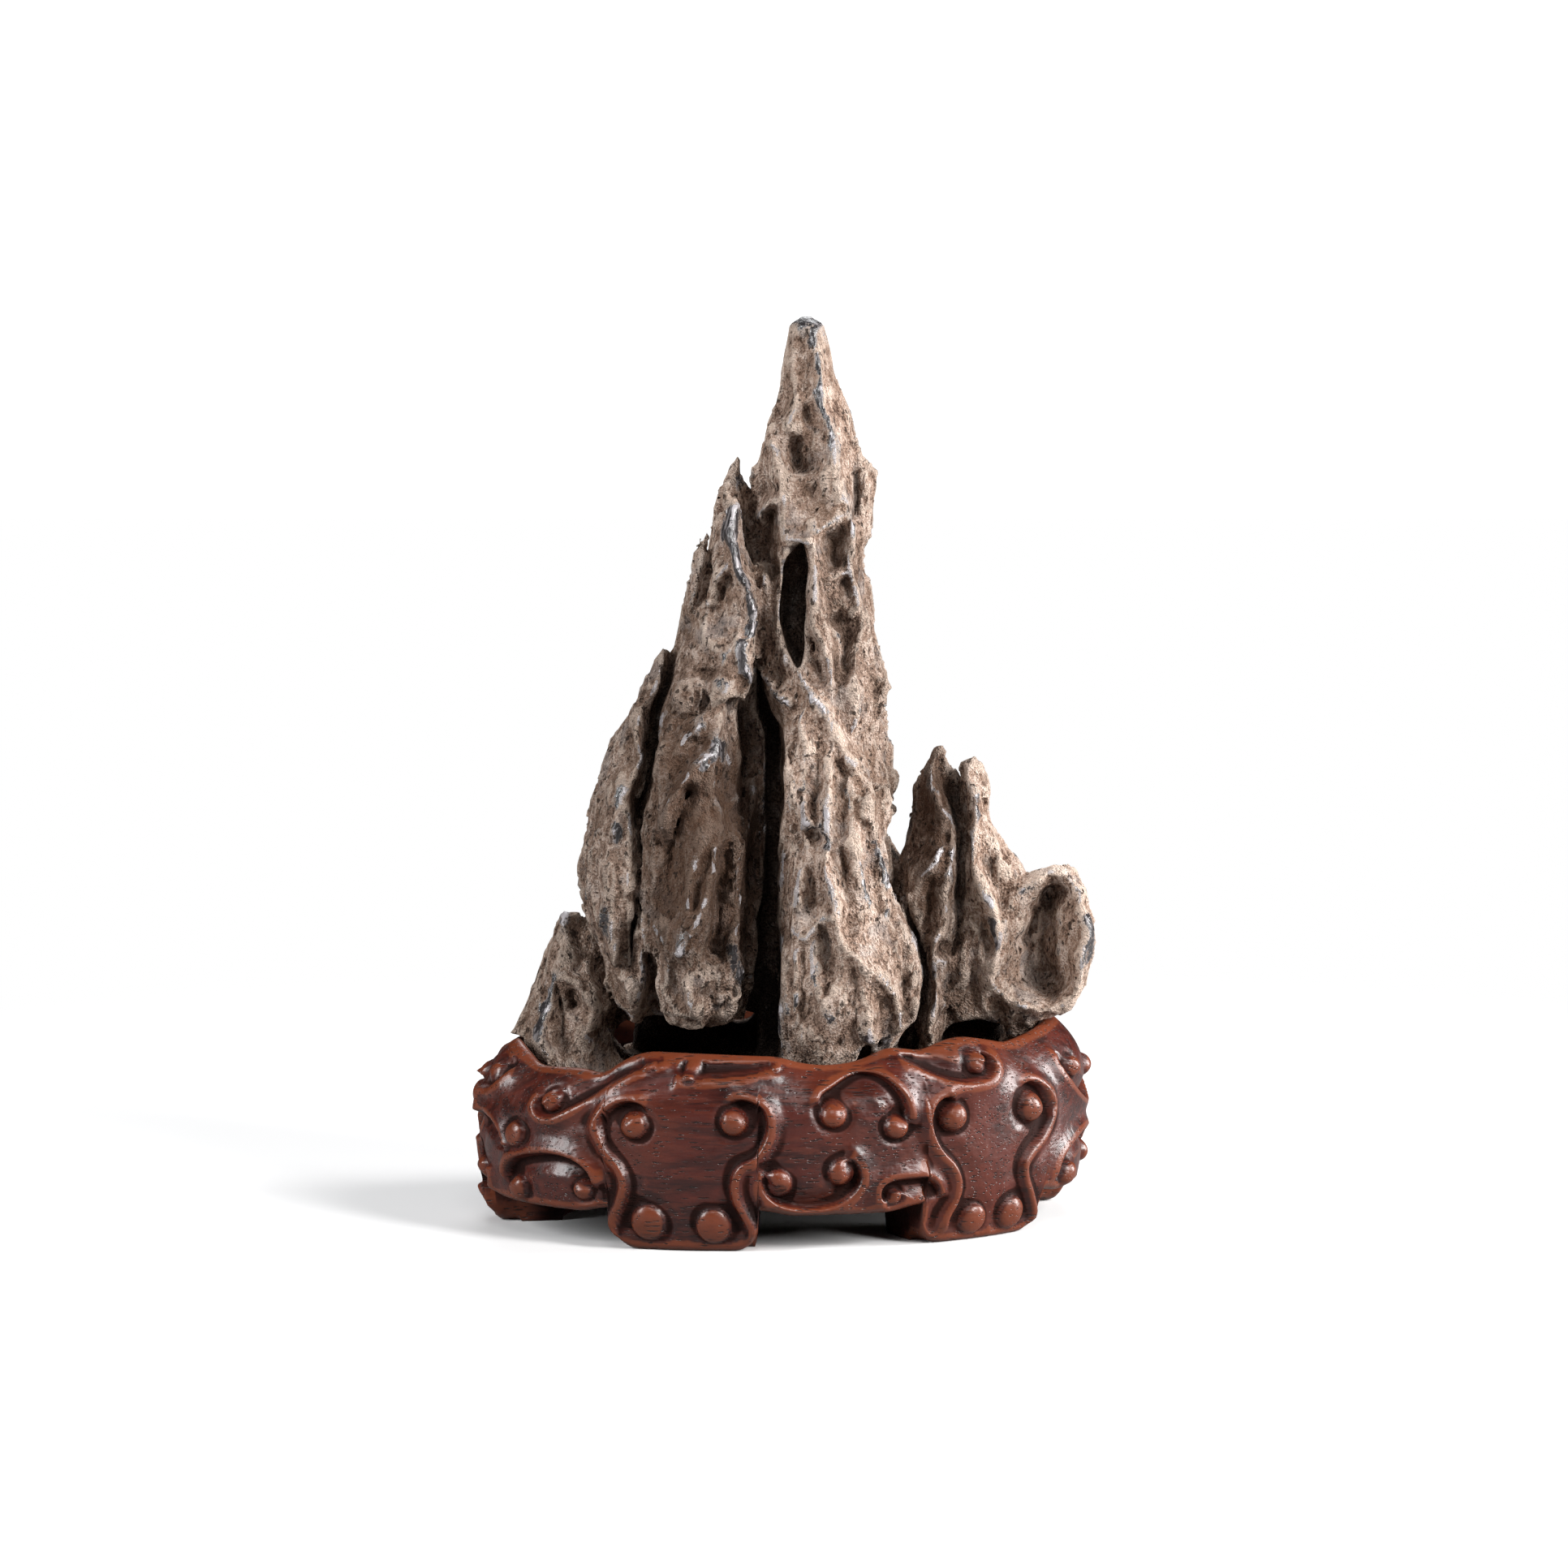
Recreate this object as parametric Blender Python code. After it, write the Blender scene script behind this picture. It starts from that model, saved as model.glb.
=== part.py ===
"""Scholar's rock: a mountain-shaped stone standing in the socket of a carved oval wood stand.

The whole is 270 mm tall. Lengths in the tables are millimetres and become metres when a mesh is
made. +X is right, +Y goes back and +Z is up. The origin lies on the floor, under the middle.
"""

import bpy
import numpy as np

MM = 0.001

# ---------------------------------------------------------------- driving dimensions
STAND_HALF_LENGTH = 91.2
STAND_HALF_DEPTH = 60.0
STAND_ROUNDNESS = 2.1           # exponent of the superellipse that the stand's plan follows
STAND_YAW = np.radians(9.0)     # the oval is turned a little to the rock's broad face
SOCKET_FLOOR = 36.0
FEET_AT = (-39.5, 56.0, 148.0, 242.5, -143.0)   # arc position of each foot's middle
FOOT_HALF_WIDTH = 22.5
FOOT_CORNER = 7.5
APRON_LEVEL = 10.4
UNDERSIDE_LEVEL = 14.0
REST_GAP = 0.3                  # between the rock's flat base and the socket floor
SOCKET_CLEARANCE = 0.9          # between the rock's sides and the socket wall

SOCKET_MOUTH_INSET = 12.0       # from the widest oval to the socket's mouth
SOCKET_TAPER = 6.0              # how much further in the socket's floor lies
RIM_BEAD = 1.8                  # the rock stays this far above the rim where it hangs over
RIM_SPREAD = 9.0                # how fast the rock may widen above the rim
RIM_DRAW_IN = (17.0, 9.0, 2.2)  # height, depth and power of the wall's curl inwards under the rim
HEM_DRAW_IN = (26.0, 4.4, 1.5)  # the same towards the floor
HEM_ARCH = (1.8, 12.0)          # the hem rises this much beside each foot, over this length
FOOT_BLEND = (-1.4, 0.6)        # where a foot's flat bottom turns up, from its half width
FLOOR_RINGS = (26.0, 13.0, 4.0)     # rings of the socket floor, in from its edge
SOCKET_WALL_ROWS = 7
LIP_TOP = (0.9, 1.9, 0.7)       # outward steps and height of the rim's rounded top
HEM_ROUND = (1.4, 1.0, 0.3, 2.2)    # height and steps of the rounded lower edge
FOOT_INSETS = (10.0, 12.0, 24.0, 25.5)      # outer edge, sole and inner edge of a foot
UNDERSIDE_INSET = 42.0
MASS_BLEND = 2.0
RELIEF_BOOST = 1.8
RELIEF_REACH = (16.0, 26.0)     # the front's planes fade out this far from any crest or valley
RELIEF_DEPTH = (0.0, 20.0)      # and between these depths, towards the back
NEARNESS_POWER = 4              # how strongly the nearest crest or valley sets the height
HOLE_EDGE = (0.4, 1.2)          # where a hole's wall starts and ends, in its own radii
GROUND = (45.2, 1.8, 12.0, 2.5)     # the foot that fills the socket: level, lumps, their size, blend
WEAR = 0.4                      # every face is worn back this far before it is scalloped
FAR_OFF = 1e9                   # further than any distance here

ROCK_STEP = 1.5
ROCK_TRIANGLES = 5400
STAND_TRIANGLES = 4300
STAND_COLUMNS = 480
STAND_WALL_ROWS = 48

# ---------------------------------------------------------------- the rock's masses
# Each row is (height, x, y, half width, half depth) of an upright column's oval section, from its
# top down.
MASSES = {
    "peak": [
        (269.4, 7.3, 9, 0.8, 1.0), (268.6, 7.3, 9, 3.0, 3.4), (267.2, 7.4, 9, 4.6, 4.8),
        (262, 7.5, 9, 5.9, 6.2), (255, 7.4, 9, 7.4, 7.8), (248, 7.6, 9, 9.3, 9.4),
        (240, 7.4, 9, 11.4, 11), (232, 7.4, 8, 13.4, 12.5), (222, 6.8, 8, 15.4, 14.5),
        (210, 6.8, 8, 16.2, 17), (198, 6.8, 8, 15.6, 19.5), (186, 8.0, 8, 17.4, 22),
        (172, 9.0, 7, 19.0, 24), (160, 10.2, 6, 21.6, 26), (145, 9.0, 6, 18.9, 27),
        (130, 10, 6, 20.5, 28), (116, 9, 6, 20, 29), (104, 10, 6, 22, 29.5), (90, 11, 6, 24, 30),
        (65, 10, 6, 27, 31), (36, 10, 5, 29, 31)],
    "right_flake": [
        (230, 20.8, 5, 0.4, 0.8), (226.5, 21.0, 5, 1.9, 3), (219, 22.0, 5, 2.7, 5),
        (212, 22.4, 5, 2.9, 6), (205, 21.8, 6, 2.7, 6), (197, 20.6, 7, 2, 4)],
    "right_nub": [
        (135.6, 30.6, 6, 0.8, 1.5), (134.2, 31.4, 6, 2.3, 4), (131.4, 32.0, 6, 2.8, 4.6),
        (128.4, 31.0, 6, 2.4, 4), (125.0, 29.6, 6, 1.9, 4), (122.8, 31.8, 6, 2.0, 3),
        (120.8, 31.8, 6, 1.6, 2), (119.2, 30, 6, 0.6, 1)],
    "left_spire": [
        (228.4, -12.7, 10, 0.4, 0.5), (227, -13.0, 10, 1.3, 2.0), (221, -14.6, 10, 4.0, 4.5),
        (212, -14.8, 10, 5.0, 7.5), (198, -14.5, 9, 8, 10), (180, -18, 8, 9, 14), (160, -22, 6, 12, 17)],
    "head_blade": [
        (215.5, -14.9, -4, 0.6, 0.8), (213.5, -15.0, -4, 2.2, 2.4), (206, -15.2, -5, 3.8, 4.8),
        (196, -14.6, -6, 6.0, 8), (184, -14.0, -7, 8.0, 10), (172, -17, -8, 9.5, 12),
        (158, -19, -9, 10, 13)],
    "left_flake": [
        (203, -23.0, 0, 0.4, 0.6), (200, -23.0, 0, 1.4, 2.2), (193, -23.4, 0, 3.4, 5),
        (184, -24.0, -1, 4.6, 8), (172, -24.8, -2, 6.0, 11), (158, -28.6, -4, 8, 14)],
    "outer_slab": [
        (170.4, -35.0, -2, 0.6, 1.0), (168, -35.7, -2, 2.1, 4.0), (162, -36.8, -2, 3.2, 7),
        (154, -39.2, -2, 4.3, 10), (146, -43.0, -2, 5.6, 13), (136, -46.5, -3, 6.9, 16),
        (124, -48.9, -3, 8.0, 18), (110, -50.6, -4, 9.2, 19), (100, -50.6, -4, 9.4, 20),
        (86, -47.5, -5, 8.5, 20), (72, -45.0, -6, 7.4, 18), (65, -44.0, -8, 4.5, 12),
        (62, -44.0, -8, 0.8, 3)],
    "left_slab": [
        (176, -22, -7, 2, 3), (168, -24, -8, 7.5, 8), (156, -26, -9, 11, 13), (142, -27, -11, 13, 17),
        (126, -28, -12, 14, 21), (108, -28, -13, 14.5, 24), (90, -27, -13, 14.5, 25.5),
        (75, -25.5, -13, 14, 25), (66, -25, -14, 12.5, 21), (60.5, -25, -15, 8.5, 12), (59, -25, -15, 2, 3)],
    "tongue": [
        (172, 1.2, -10, 1.0, 2), (166, 3.2, -12, 3.4, 5), (158, 7.0, -13, 5.6, 8),
        (150, 10.5, -14, 8.0, 10.5), (140, 13.2, -15, 11.5, 13.5), (128, 15.0, -17, 14.0, 16),
        (116, 15.4, -18, 15.2, 17.5), (104, 15.6, -20, 16.0, 18.5), (96, 16.6, -21, 17.6, 19),
        (86, 18.4, -22, 20.0, 20), (76, 18.2, -22, 21.8, 21), (67, 17.4, -22, 22.2, 21.5),
        (60, 15.8, -22, 19.0, 20.5), (54, 15.0, -21, 14.0, 19), (48, 14.5, -19, 10.5, 17),
        (36, 14.5, -17, 9.5, 14)],
    "hill_left": [
        (139.2, 46.8, 4, 1.0, 1.2), (137, 46.4, 4, 2.6, 3), (134, 45.8, 4, 4.6, 5.4),
        (129, 44.8, 3, 5.9, 8), (122, 44.7, 2, 6.6, 11), (113, 44.0, 1, 7.4, 13), (106, 44.2, 0, 8.4, 14.5),
        (92, 43.5, -1, 8.8, 17), (78, 42.8, -2, 8.0, 18), (66, 43.0, -2, 5.6, 16),
        (58, 43.5, -2, 3.6, 15), (48, 43.5, -2, 3.0, 14), (36, 43.5, -1, 6.0, 13)],
    "hill_right": [
        (138.2, 55.6, 5, 1.6, 1.6), (136, 56.0, 5, 3.4, 4), (129, 56.2, 5, 5.2, 8), (120, 55.6, 4, 5.6, 11),
        (114, 58.0, 4, 7.6, 13), (106, 60.0, 3, 10.5, 15), (94, 60.5, 3, 12.5, 17),
        (80, 59.5, 3, 13.0, 19), (68, 58.5, 5, 12.0, 18), (56, 56, 9, 12.0, 16), (36, 53, 10, 14.0, 16)],
    "dish": [
        (107, 82.0, -2, 1.5, 1.5), (104.8, 80.8, -2, 5.6, 4), (100, 79.4, -3, 10.8, 7),
        (90, 79.4, -4, 13.4, 10), (80, 78.4, -4, 14.6, 11.5), (70, 76.8, -4, 13.0, 11),
        (62, 75.0, -3, 10.8, 9.0), (57.0, 73.6, -3, 7.5, 6), (54.5, 73.0, -3, 5, 5)],
    "foothill": [
        (92.6, -64.4, 2, 0.8, 1), (90.6, -63.6, 2, 3.0, 3), (86, -62.4, 2, 5.2, 6),
        (78, -61.6, 1, 8.2, 10), (68, -62.3, 0, 10.8, 13), (60, -65.0, 0, 12.6, 15), (54, -67.8, 0, 15.2, 16),
        (46, -64, 0, 13.6, 16), (36, -61, 0, 12, 15)],
    "left_core": [
        (180, -9, 8, 3, 5), (166, -11, 7, 9, 12), (142, -14, 7, 13, 16), (112, -16, 7, 16, 18),
        (80, -18, 8, 18, 18), (36, -16, 8, 18, 18)],
    "foothill_pillar": [
        (70, -57, 3, 2, 4), (64, -57.5, 2, 4.5, 8), (54, -58, 1, 6.4, 9), (36, -57, 1, 7.5, 10)],
    "saddle": [
        (91, -57.5, 4, 2, 3), (84, -57, 4, 5, 8), (74, -57, 3, 7.5, 11), (63, -58, 3, 7, 12)],
    "hill_core": [
        (134, 49.5, 7, 2.5, 4), (122, 50, 7, 7.5, 9), (106, 52, 7, 12, 13), (80, 53, 6, 15.5, 16),
        (58, 52, 8, 14, 15), (36, 50, 8, 16, 16)],
    "back_ridge": [
        (196, 5, 20, 2, 2), (184, 6, 22, 8, 7), (160, 4, 24, 13, 11), (130, 2, 25, 16, 14),
        (95, 2, 26, 19, 15), (60, 2, 25, 22, 15), (36, 2, 24, 22, 14)],
    "back_left": [
        (158, -28, 13, 2, 3), (148, -28, 14, 8, 8), (124, -30, 15, 13, 13), (96, -32, 16, 16, 16),
        (70, -33, 16, 17, 17), (36, -32, 15, 17, 16)],
    "back_right": [
        (117, 24, 16, 2, 3), (108, 25, 17, 7, 9), (96, 29, 18, 13, 13), (66, 34, 17, 18, 15),
        (36, 34, 16, 18, 14)],
}

# Deep cuts: (floor of the cut in y, blend, rows of (x, z, half width)) seen from the front.
CUTS = {
    "slot": (3.0, 1.2, [
        (5.2, 203, 0.6), (4.0, 198, 3.0), (3.4, 190, 4.0), (3.2, 181, 3.8), (3.2, 173, 2.6),
        (4.0, 167, 0.8)]),
    "cleft": (9.0, 1.4, [
        (-8, 166, 0.5), (-6.8, 157, 1.6), (-3.8, 148, 2.8), (-2.8, 138, 2.6), (-3.0, 126, 2.2),
        (-3.8, 112, 2.2), (-4.2, 98, 2.8), (-4.6, 84, 3.4), (-5.6, 72, 4.4), (-6.6, 58, 6.0), (-7, 40, 6.0)]),
    "spire_notch": (40.0, 0.6, [(-11.0, 232, 1.1), (-10.8, 226, 1.0), (-11.2, 221, 0.5)]),
    "cave": (24.0, 2.0, [(-46, 52.5, 5.6), (-38, 52.5, 8.5), (-28, 51, 9.5), (-16, 52, 9.0)]),
    "tunnel": (80.0, 1.2, [(-13.5, 56.4, 3.0), (-10.5, 56.8, 3.0)]),
    "left_crevice": (-6.0, 1.0, [
        (-32.8, 172, 0.8), (-34.4, 163, 1.3), (-36.6, 155, 1.5), (-39.2, 142, 1.0), (-41.2, 130, 0.6),
        (-42.4, 120, 0.1)]),
    "low_crevice": (-16.0, 1.4, [(-44.0, 98, 0.1), (-45.4, 88, 0.6), (-44.4, 76, 0.3)]),
    "tongue_crevice": (-8.0, 1.2, [
        (33.6, 103, 0.3), (36.6, 95, 0.7), (39.4, 86, 0.8), (41.0, 76, 0.8), (40.0, 64, 1.4)]),
    "hill_crevice": (-2.0, 0.9, [
        (48.6, 137, 0.8), (50, 129, 1.1), (50.6, 121, 1.2), (54.0, 115, 1.2), (52.4, 105, 0.8),
        (51.6, 96, 0.8), (51, 85, 0.2)]),
    "hill_cave": (6.0, 1.6, [(52, 55, 5.0), (58, 56, 5.2), (63.5, 55, 3.6)]),
    "flake_groove": (4.0, 0.8, [(21.6, 228, 0.8), (20.6, 218, 1.1), (20.2, 210, 0.6)]),
    "foothill_crevice": (-7.0, 1.0, [(-67.4, 76, 0.1), (-66.4, 66, 0.6), (-66.4, 56, 0.4)]),
    "notch": (-20.0, 1.2, [(23, 50, 2.6), (23.4, 56, 1.4)]),
}

# The front's planes run from crests to valleys. Crests: (height, points (x, z)).
CRESTS = [
    (2.4, [(8.5, 266), (10.3, 259), (10.5, 250), (11.5, 244), (12.6, 238), (14.5, 232), (15, 224), (16, 218),
           (18, 213), (20.4, 208), (20.2, 200), (19.6, 193), (20.6, 188), (21.6, 184)]),
    (1.6, [(5.4, 243.4), (2.6, 241), (0.8, 237.6)]),
    (2.4, [(-4.4, 238), (-3.4, 233), (-1.6, 229), (-1, 222), (-0.6, 216), (-1, 210), (0.6, 204), (4.6, 203.4),
           (8.2, 203), (9.2, 195), (9.3, 188), (8.6, 181), (10.4, 174), (12.8, 166), (13, 161)]),
    (2.0, [(-1.2, 215), (-5.6, 213.4), (-8, 210)]),
    (1.8, [(10, 206.6), (13.4, 209), (17, 211)]),
    (2.4, [(24.4, 182), (23.4, 176), (21.6, 169), (20, 163), (20.4, 154), (20.4, 147)]),
    (2.2, [(14.6, 193), (19.6, 194)]),
    (2.8, [(0.6, 200), (-0.4, 194), (-1, 184), (-0.8, 175), (0.2, 170)]),
    (3.4, [(-14.8, 214), (-15, 205), (-13.8, 198), (-10.6, 190), (-8.4, 183), (-10.2, 176), (-11.4, 168),
           (-10.4, 162)]),
    (1.8, [(-5.4, 193), (-4.6, 184), (-5.8, 176)]),
    (2.0, [(-24, 201), (-26, 192), (-28.4, 184)]),
    (2.0, [(-19.8, 193.6), (-16.8, 196.4)]),
    (3.0, [(-9.4, 165), (-5, 162), (-2.6, 158), (0.6, 157), (3.4, 156)]),
    (3.4, [(-16.8, 161), (-18, 154), (-20, 147), (-22, 142), (-27, 138), (-32, 131), (-34.5, 127),
           (-36, 121)]),
    (2.6, [(-19.6, 149), (-18, 143), (-16.2, 139)]),
    (1.2, [(-24, 151), (-28, 147), (-31.4, 142)]),
    (2.6, [(-31.4, 161), (-34.4, 154), (-37.4, 147), (-38.2, 141), (-37.4, 133), (-40, 125), (-41, 117)]),
    (2.4, [(-20.2, 122), (-24.6, 113), (-27.6, 104), (-28.6, 98)]),
    (3.0, [(-19.8, 115), (-21.2, 107), (-22.6, 100), (-25, 95), (-27.6, 88), (-31, 85)]),
    (3.2, [(-8.8, 130), (-10.8, 121), (-13.2, 111), (-14.6, 101), (-12.4, 95.4), (-14, 89), (-15.2, 84.4),
           (-12.2, 80), (-10.2, 76), (-8.8, 72)]),
    (2.6, [(-39, 111), (-40, 102), (-39.6, 94), (-36, 89), (-34, 84), (-34.4, 77), (-36, 73), (-33, 69),
           (-30.4, 65), (-28.4, 61)]),
    (2.8, [(-29.4, 76), (-27.2, 71.6), (-27, 67)]),
    (2.4, [(-15.8, 79), (-14.4, 72), (-15.4, 65)]),
    (2.6, [(-36, 170), (-38.6, 160), (-42, 152), (-43.6, 147), (-41.4, 141), (-45.4, 134), (-47.6, 129),
           (-45, 123), (-45.2, 116), (-45.8, 108), (-46, 99), (-44.8, 92)]),
    (2.2, [(-47.6, 129), (-50, 118), (-51.6, 108), (-50.6, 98), (-50.4, 89), (-49.4, 81)]),
    (2.0, [(-42.6, 93), (-41.4, 85), (-41.6, 76), (-44, 68)]),
    (2.6, [(-65.4, 91), (-68.2, 84), (-69.4, 78), (-67.6, 74), (-69, 68), (-72, 62), (-73, 56), (-70, 52)]),
    (2.6, [(-66.6, 75), (-62, 73), (-59, 69), (-56.4, 66), (-51, 64.6), (-45, 62.4)]),
    (2.0, [(-57.4, 63), (-58.6, 56), (-54.6, 51)]),
    (3.0, [(0.8, 169), (4, 166), (6.6, 162), (8.6, 158), (10.8, 155), (13, 151), (15, 148), (18, 143),
           (21, 138), (24, 133), (26.6, 128)]),
    (2.4, [(4.4, 155), (5.6, 147), (6.6, 140), (6.2, 130), (6.4, 121.6)]),
    (2.4, [(1.6, 141), (2, 130), (0.6, 120), (-0.6, 112), (-1, 103), (-0.6, 92), (-1.6, 82)]),
    (2.4, [(13, 140), (12.4, 132), (12.8, 121), (12, 113), (14, 104), (15.6, 96)]),
    (1.6, [(19.4, 130), (20.2, 120), (20.6, 110)]),
    (3.0, [(24.4, 126), (26.6, 118), (28.8, 111), (30.8, 104), (32, 99), (35, 97), (37, 92), (38.8, 86),
           (39.6, 79), (39.6, 70), (38.6, 65)]),
    (2.8, [(4, 109), (3, 103), (1.8, 96), (2.6, 90), (5.6, 88.8), (8.6, 93), (11, 95), (14.6, 95.4), (17, 91),
           (20, 86), (24, 82), (29, 78), (31.4, 74), (33.4, 69), (34.6, 62)]),
    (1.6, [(8, 92), (8, 84), (9.6, 75), (12, 72), (13.6, 67)]),
    (2.2, [(3.4, 86), (3, 76), (4, 66), (5.6, 57)]),
    (1.6, [(24, 66), (24.6, 60), (26.6, 56)]),
    (2.6, [(46, 140), (43.6, 135), (45, 128), (48, 123), (50, 120), (50.4, 115), (49.6, 107), (49, 101),
           (48.6, 97), (48, 91), (46.6, 87.6), (44.2, 85)]),
    (1.8, [(39.6, 103), (43, 106.6), (46.6, 112)]),
    (2.2, [(44.2, 85), (43.8, 78), (44.2, 72), (44, 64), (42.8, 57)]),
    (2.2, [(45.6, 79), (50, 77.6), (52.6, 74), (50.6, 70), (46.6, 66)]),
    (3.0, [(54.4, 138), (54.4, 133), (56, 128), (57, 122), (56.4, 116), (57, 109), (57.6, 104), (60, 98),
           (62.6, 95), (64, 90), (64, 85), (62.4, 80), (62, 75)]),
    (2.4, [(65, 87), (68, 94), (71, 99.6), (75, 102.6), (79.6, 105), (84, 104), (87.4, 100), (88, 95),
           (89.6, 91), (90.4, 85), (89, 78), (88.4, 72), (86.4, 68), (81, 65), (74, 64.4), (69, 65.4),
           (65, 68.4), (62.4, 73)]),
]

# Valleys: (depth, points (x, z)).
VALLEYS = [
    (2.6, [(-0.6, 247), (-1.4, 244), (-2.4, 240.6)]),
    (5.4, [(2.6, 230.4), (3.6, 226)]),
    (1.6, [(6.4, 243), (8, 239)]),
    (1.2, [(6.4, 262), (5.4, 254), (5.6, 248)]),
    (1.2, [(16, 250), (17.6, 242), (18, 232), (19, 223)]),
    (2.6, [(20.6, 226), (20.8, 218), (21.6, 211)]),
    (5.0, [(-7.6, 219), (-9, 212), (-10, 205), (-7.4, 198)]),
    (5.0, [(-3.6, 211), (-4, 205), (-4.6, 198), (-2.8, 193.6)]),
    (3.4, [(4.4, 201), (4, 186), (3.2, 172)]),
    (3.6, [(14, 205), (15, 200), (15.2, 196.6)]),
    (3.2, [(17.8, 191.4), (18.8, 187.4)]),
    (1.4, [(12.6, 190), (13.4, 184)]),
    (4.0, [(15.4, 181), (18.6, 176), (18.6, 168)]),
    (4.2, [(8.4, 175), (9.4, 168.6), (11, 163.6)]),
    (1.6, [(4, 221), (8, 218), (7, 212), (11, 212)]),
    (2.2, [(-18.6, 210), (-18.4, 200)]),
    (2.8, [(-17.4, 191), (-18, 184), (-20.4, 178)]),
    (1.8, [(-22.4, 195), (-23.6, 188), (-26, 181), (-28, 176)]),
    (1.2, [(-24, 172), (-22, 165)]),
    (3.2, [(-32.8, 169), (-34.2, 160), (-37, 151), (-39.8, 142), (-40.8, 133), (-43, 122)]),
    (1.8, [(-24, 157), (-28, 152), (-33, 146)]),
    (1.6, [(-24, 144), (-29, 139), (-33, 134)]),
    (5.0, [(-12, 151), (-11.4, 141), (-13.4, 131), (-14, 124)]),
    (5.0, [(-8, 161), (-7, 153)]),
    (2.2, [(-27.6, 131), (-30, 121), (-33, 108), (-33.4, 99)]),
    (1.2, [(-22.6, 113), (-25, 105), (-26, 99.4)]),
    (5.0, [(-17.4, 113), (-18.8, 105), (-18.6, 95), (-20.4, 86)]),
    (5.4, [(-7.6, 119), (-8.8, 109), (-7.8, 99)]),
    (2.8, [(-47, 90), (-46.6, 78)]),
    (2.2, [(-43.6, 86), (-42.8, 77)]),
    (2.0, [(-38, 84), (-38.4, 76), (-40.6, 68)]),
    (1.8, [(-53.4, 124), (-54.4, 112), (-54.2, 100)]),
    (2.0, [(-44, 132), (-43, 125)]),
    (1.4, [(-46, 147), (-45, 140), (-50, 137)]),
    (1.8, [(-63, 86), (-60.6, 80), (-62.4, 76)]),
    (2.6, [(-63, 69.6), (-63.8, 64.6)]),
    (2.4, [(-67.2, 70), (-66.6, 60), (-66, 53)]),
    (1.8, [(-75, 62), (-77.6, 54)]),
    (2.2, [(-54, 86), (-54.4, 77), (-50, 70)]),
    (2.0, [(-24, 72), (-21, 70), (-21, 64)]),
    (2.0, [(-34, 80), (-32, 76), (-31, 70)]),
    (1.2, [(10, 149), (9.6, 140), (10, 131), (9.6, 125)]),
    (1.0, [(16.6, 144), (17.4, 137), (16.8, 128), (16.2, 120)]),
    (1.2, [(16.6, 114), (17.4, 106), (19, 99), (20, 92)]),
    (1.6, [(9.6, 118), (8.2, 109), (8, 100)]),
    (1.0, [(23.4, 121), (23.8, 110), (26, 101), (27.4, 92)]),
    (1.6, [(11, 90), (12.6, 86), (14, 79)]),
    (1.0, [(5.4, 85), (5.6, 76), (6.4, 66)]),
    (1.0, [(20, 77), (21.6, 69), (19, 60)]),
    (1.4, [(28.6, 72), (31, 64)]),
    (1.6, [(35, 84), (34.6, 76), (36.4, 69)]),
    (1.8, [(32.6, 93), (35, 86)]),
    (2.8, [(34, 99.4), (37.6, 93), (40.8, 84), (42, 76), (41.6, 66)]),
    (2.2, [(41, 130), (41.6, 121), (40.4, 112)]),
    (2.6, [(44.4, 102), (43.6, 95), (41.6, 88)]),
    (4.2, [(46.4, 138), (48, 131), (51, 125), (54, 118.6)]),
    (3.0, [(53.6, 113), (52.4, 105), (52, 98), (51.8, 88), (50.6, 83)]),
    (3.4, [(47.6, 82), (49.4, 80.4)]),
    (2.2, [(58, 92), (60.6, 88), (60.4, 82)]),
    (2.2, [(56.6, 86), (56.4, 78), (57, 71)]),
    (2.8, [(62.6, 108), (63.4, 102), (66.2, 99), (66.6, 93)]),
    (9.5, [(79.6, 97), (78.0, 90), (77.8, 81), (79, 74)]),
    (8.5, [(75.6, 92), (74.0, 85), (74.4, 78), (77, 72)]),
]

# Holes on the front: (x, z, half width, half height, depth, lean in degrees).
HOLLOWS = [
    (-1.4, 243.6, 1.8, 4.0, 3.6, -12), (3.2, 228, 2.4, 3.2, 4.0, 0), (-28, 178, 1.3, 2.6, 2.6, -14),
    (-20.6, 183, 1.0, 2.8, 2.6, 0), (-17.2, 189, 1.2, 3.2, 2.6, -14), (-6.4, 217, 2.2, 2.6, 2.4, 0),
    (9.8, 118, 2.6, 2.2, 2.0, 0), (47.6, 81.6, 2.6, 3.0, 2.6, 0), (-63, 66.8, 3.2, 4.0, 2.0, 0),
    (36.4, 103.6, 1.0, 0.8, 1.6, 0), (60.6, 87.6, 2.0, 3.2, 1.4, 0), (33, 80, 1.0, 1.2, 1.2, 0),
]

# Scallops: (cell width, cell height, depth, seed).
SCALLOPS = [(11.0, 32.0, 4.2, 11), (5.2, 13.0, 1.5, 23)]
SWAY = (17.0, 1.5, 5)           # length, reach and seed of the slow bending of every wall
BACK_FLUTES = (14.0, 64.0, 5.0, 41)


# ---------------------------------------------------------------- the stand's rim and carving
# Rim height along the arc, in mm from the front middle; the right side is positive.
RIM = [
    (-228, 54), (-205, 52), (-178, 56), (-156, 53), (-130, 53.6), (-117, 55.4), (-108, 53.6), (-97, 49.6),
    (-78, 50.5),
    (-69, 49.2), (-62, 54), (-54, 56.6), (-36, 56.2), (-11, 55.3), (-3, 53.2), (4, 52.4), (12, 52.8),
    (19, 54.2), (25, 57), (32, 56.4), (38, 55.4), (46, 58), (53, 58.8), (62, 57.4), (72, 55.4),
    (88, 57.4), (104, 59.8), (118, 59.2), (132, 54), (150, 50), (174, 54), (200, 56),
]

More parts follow.
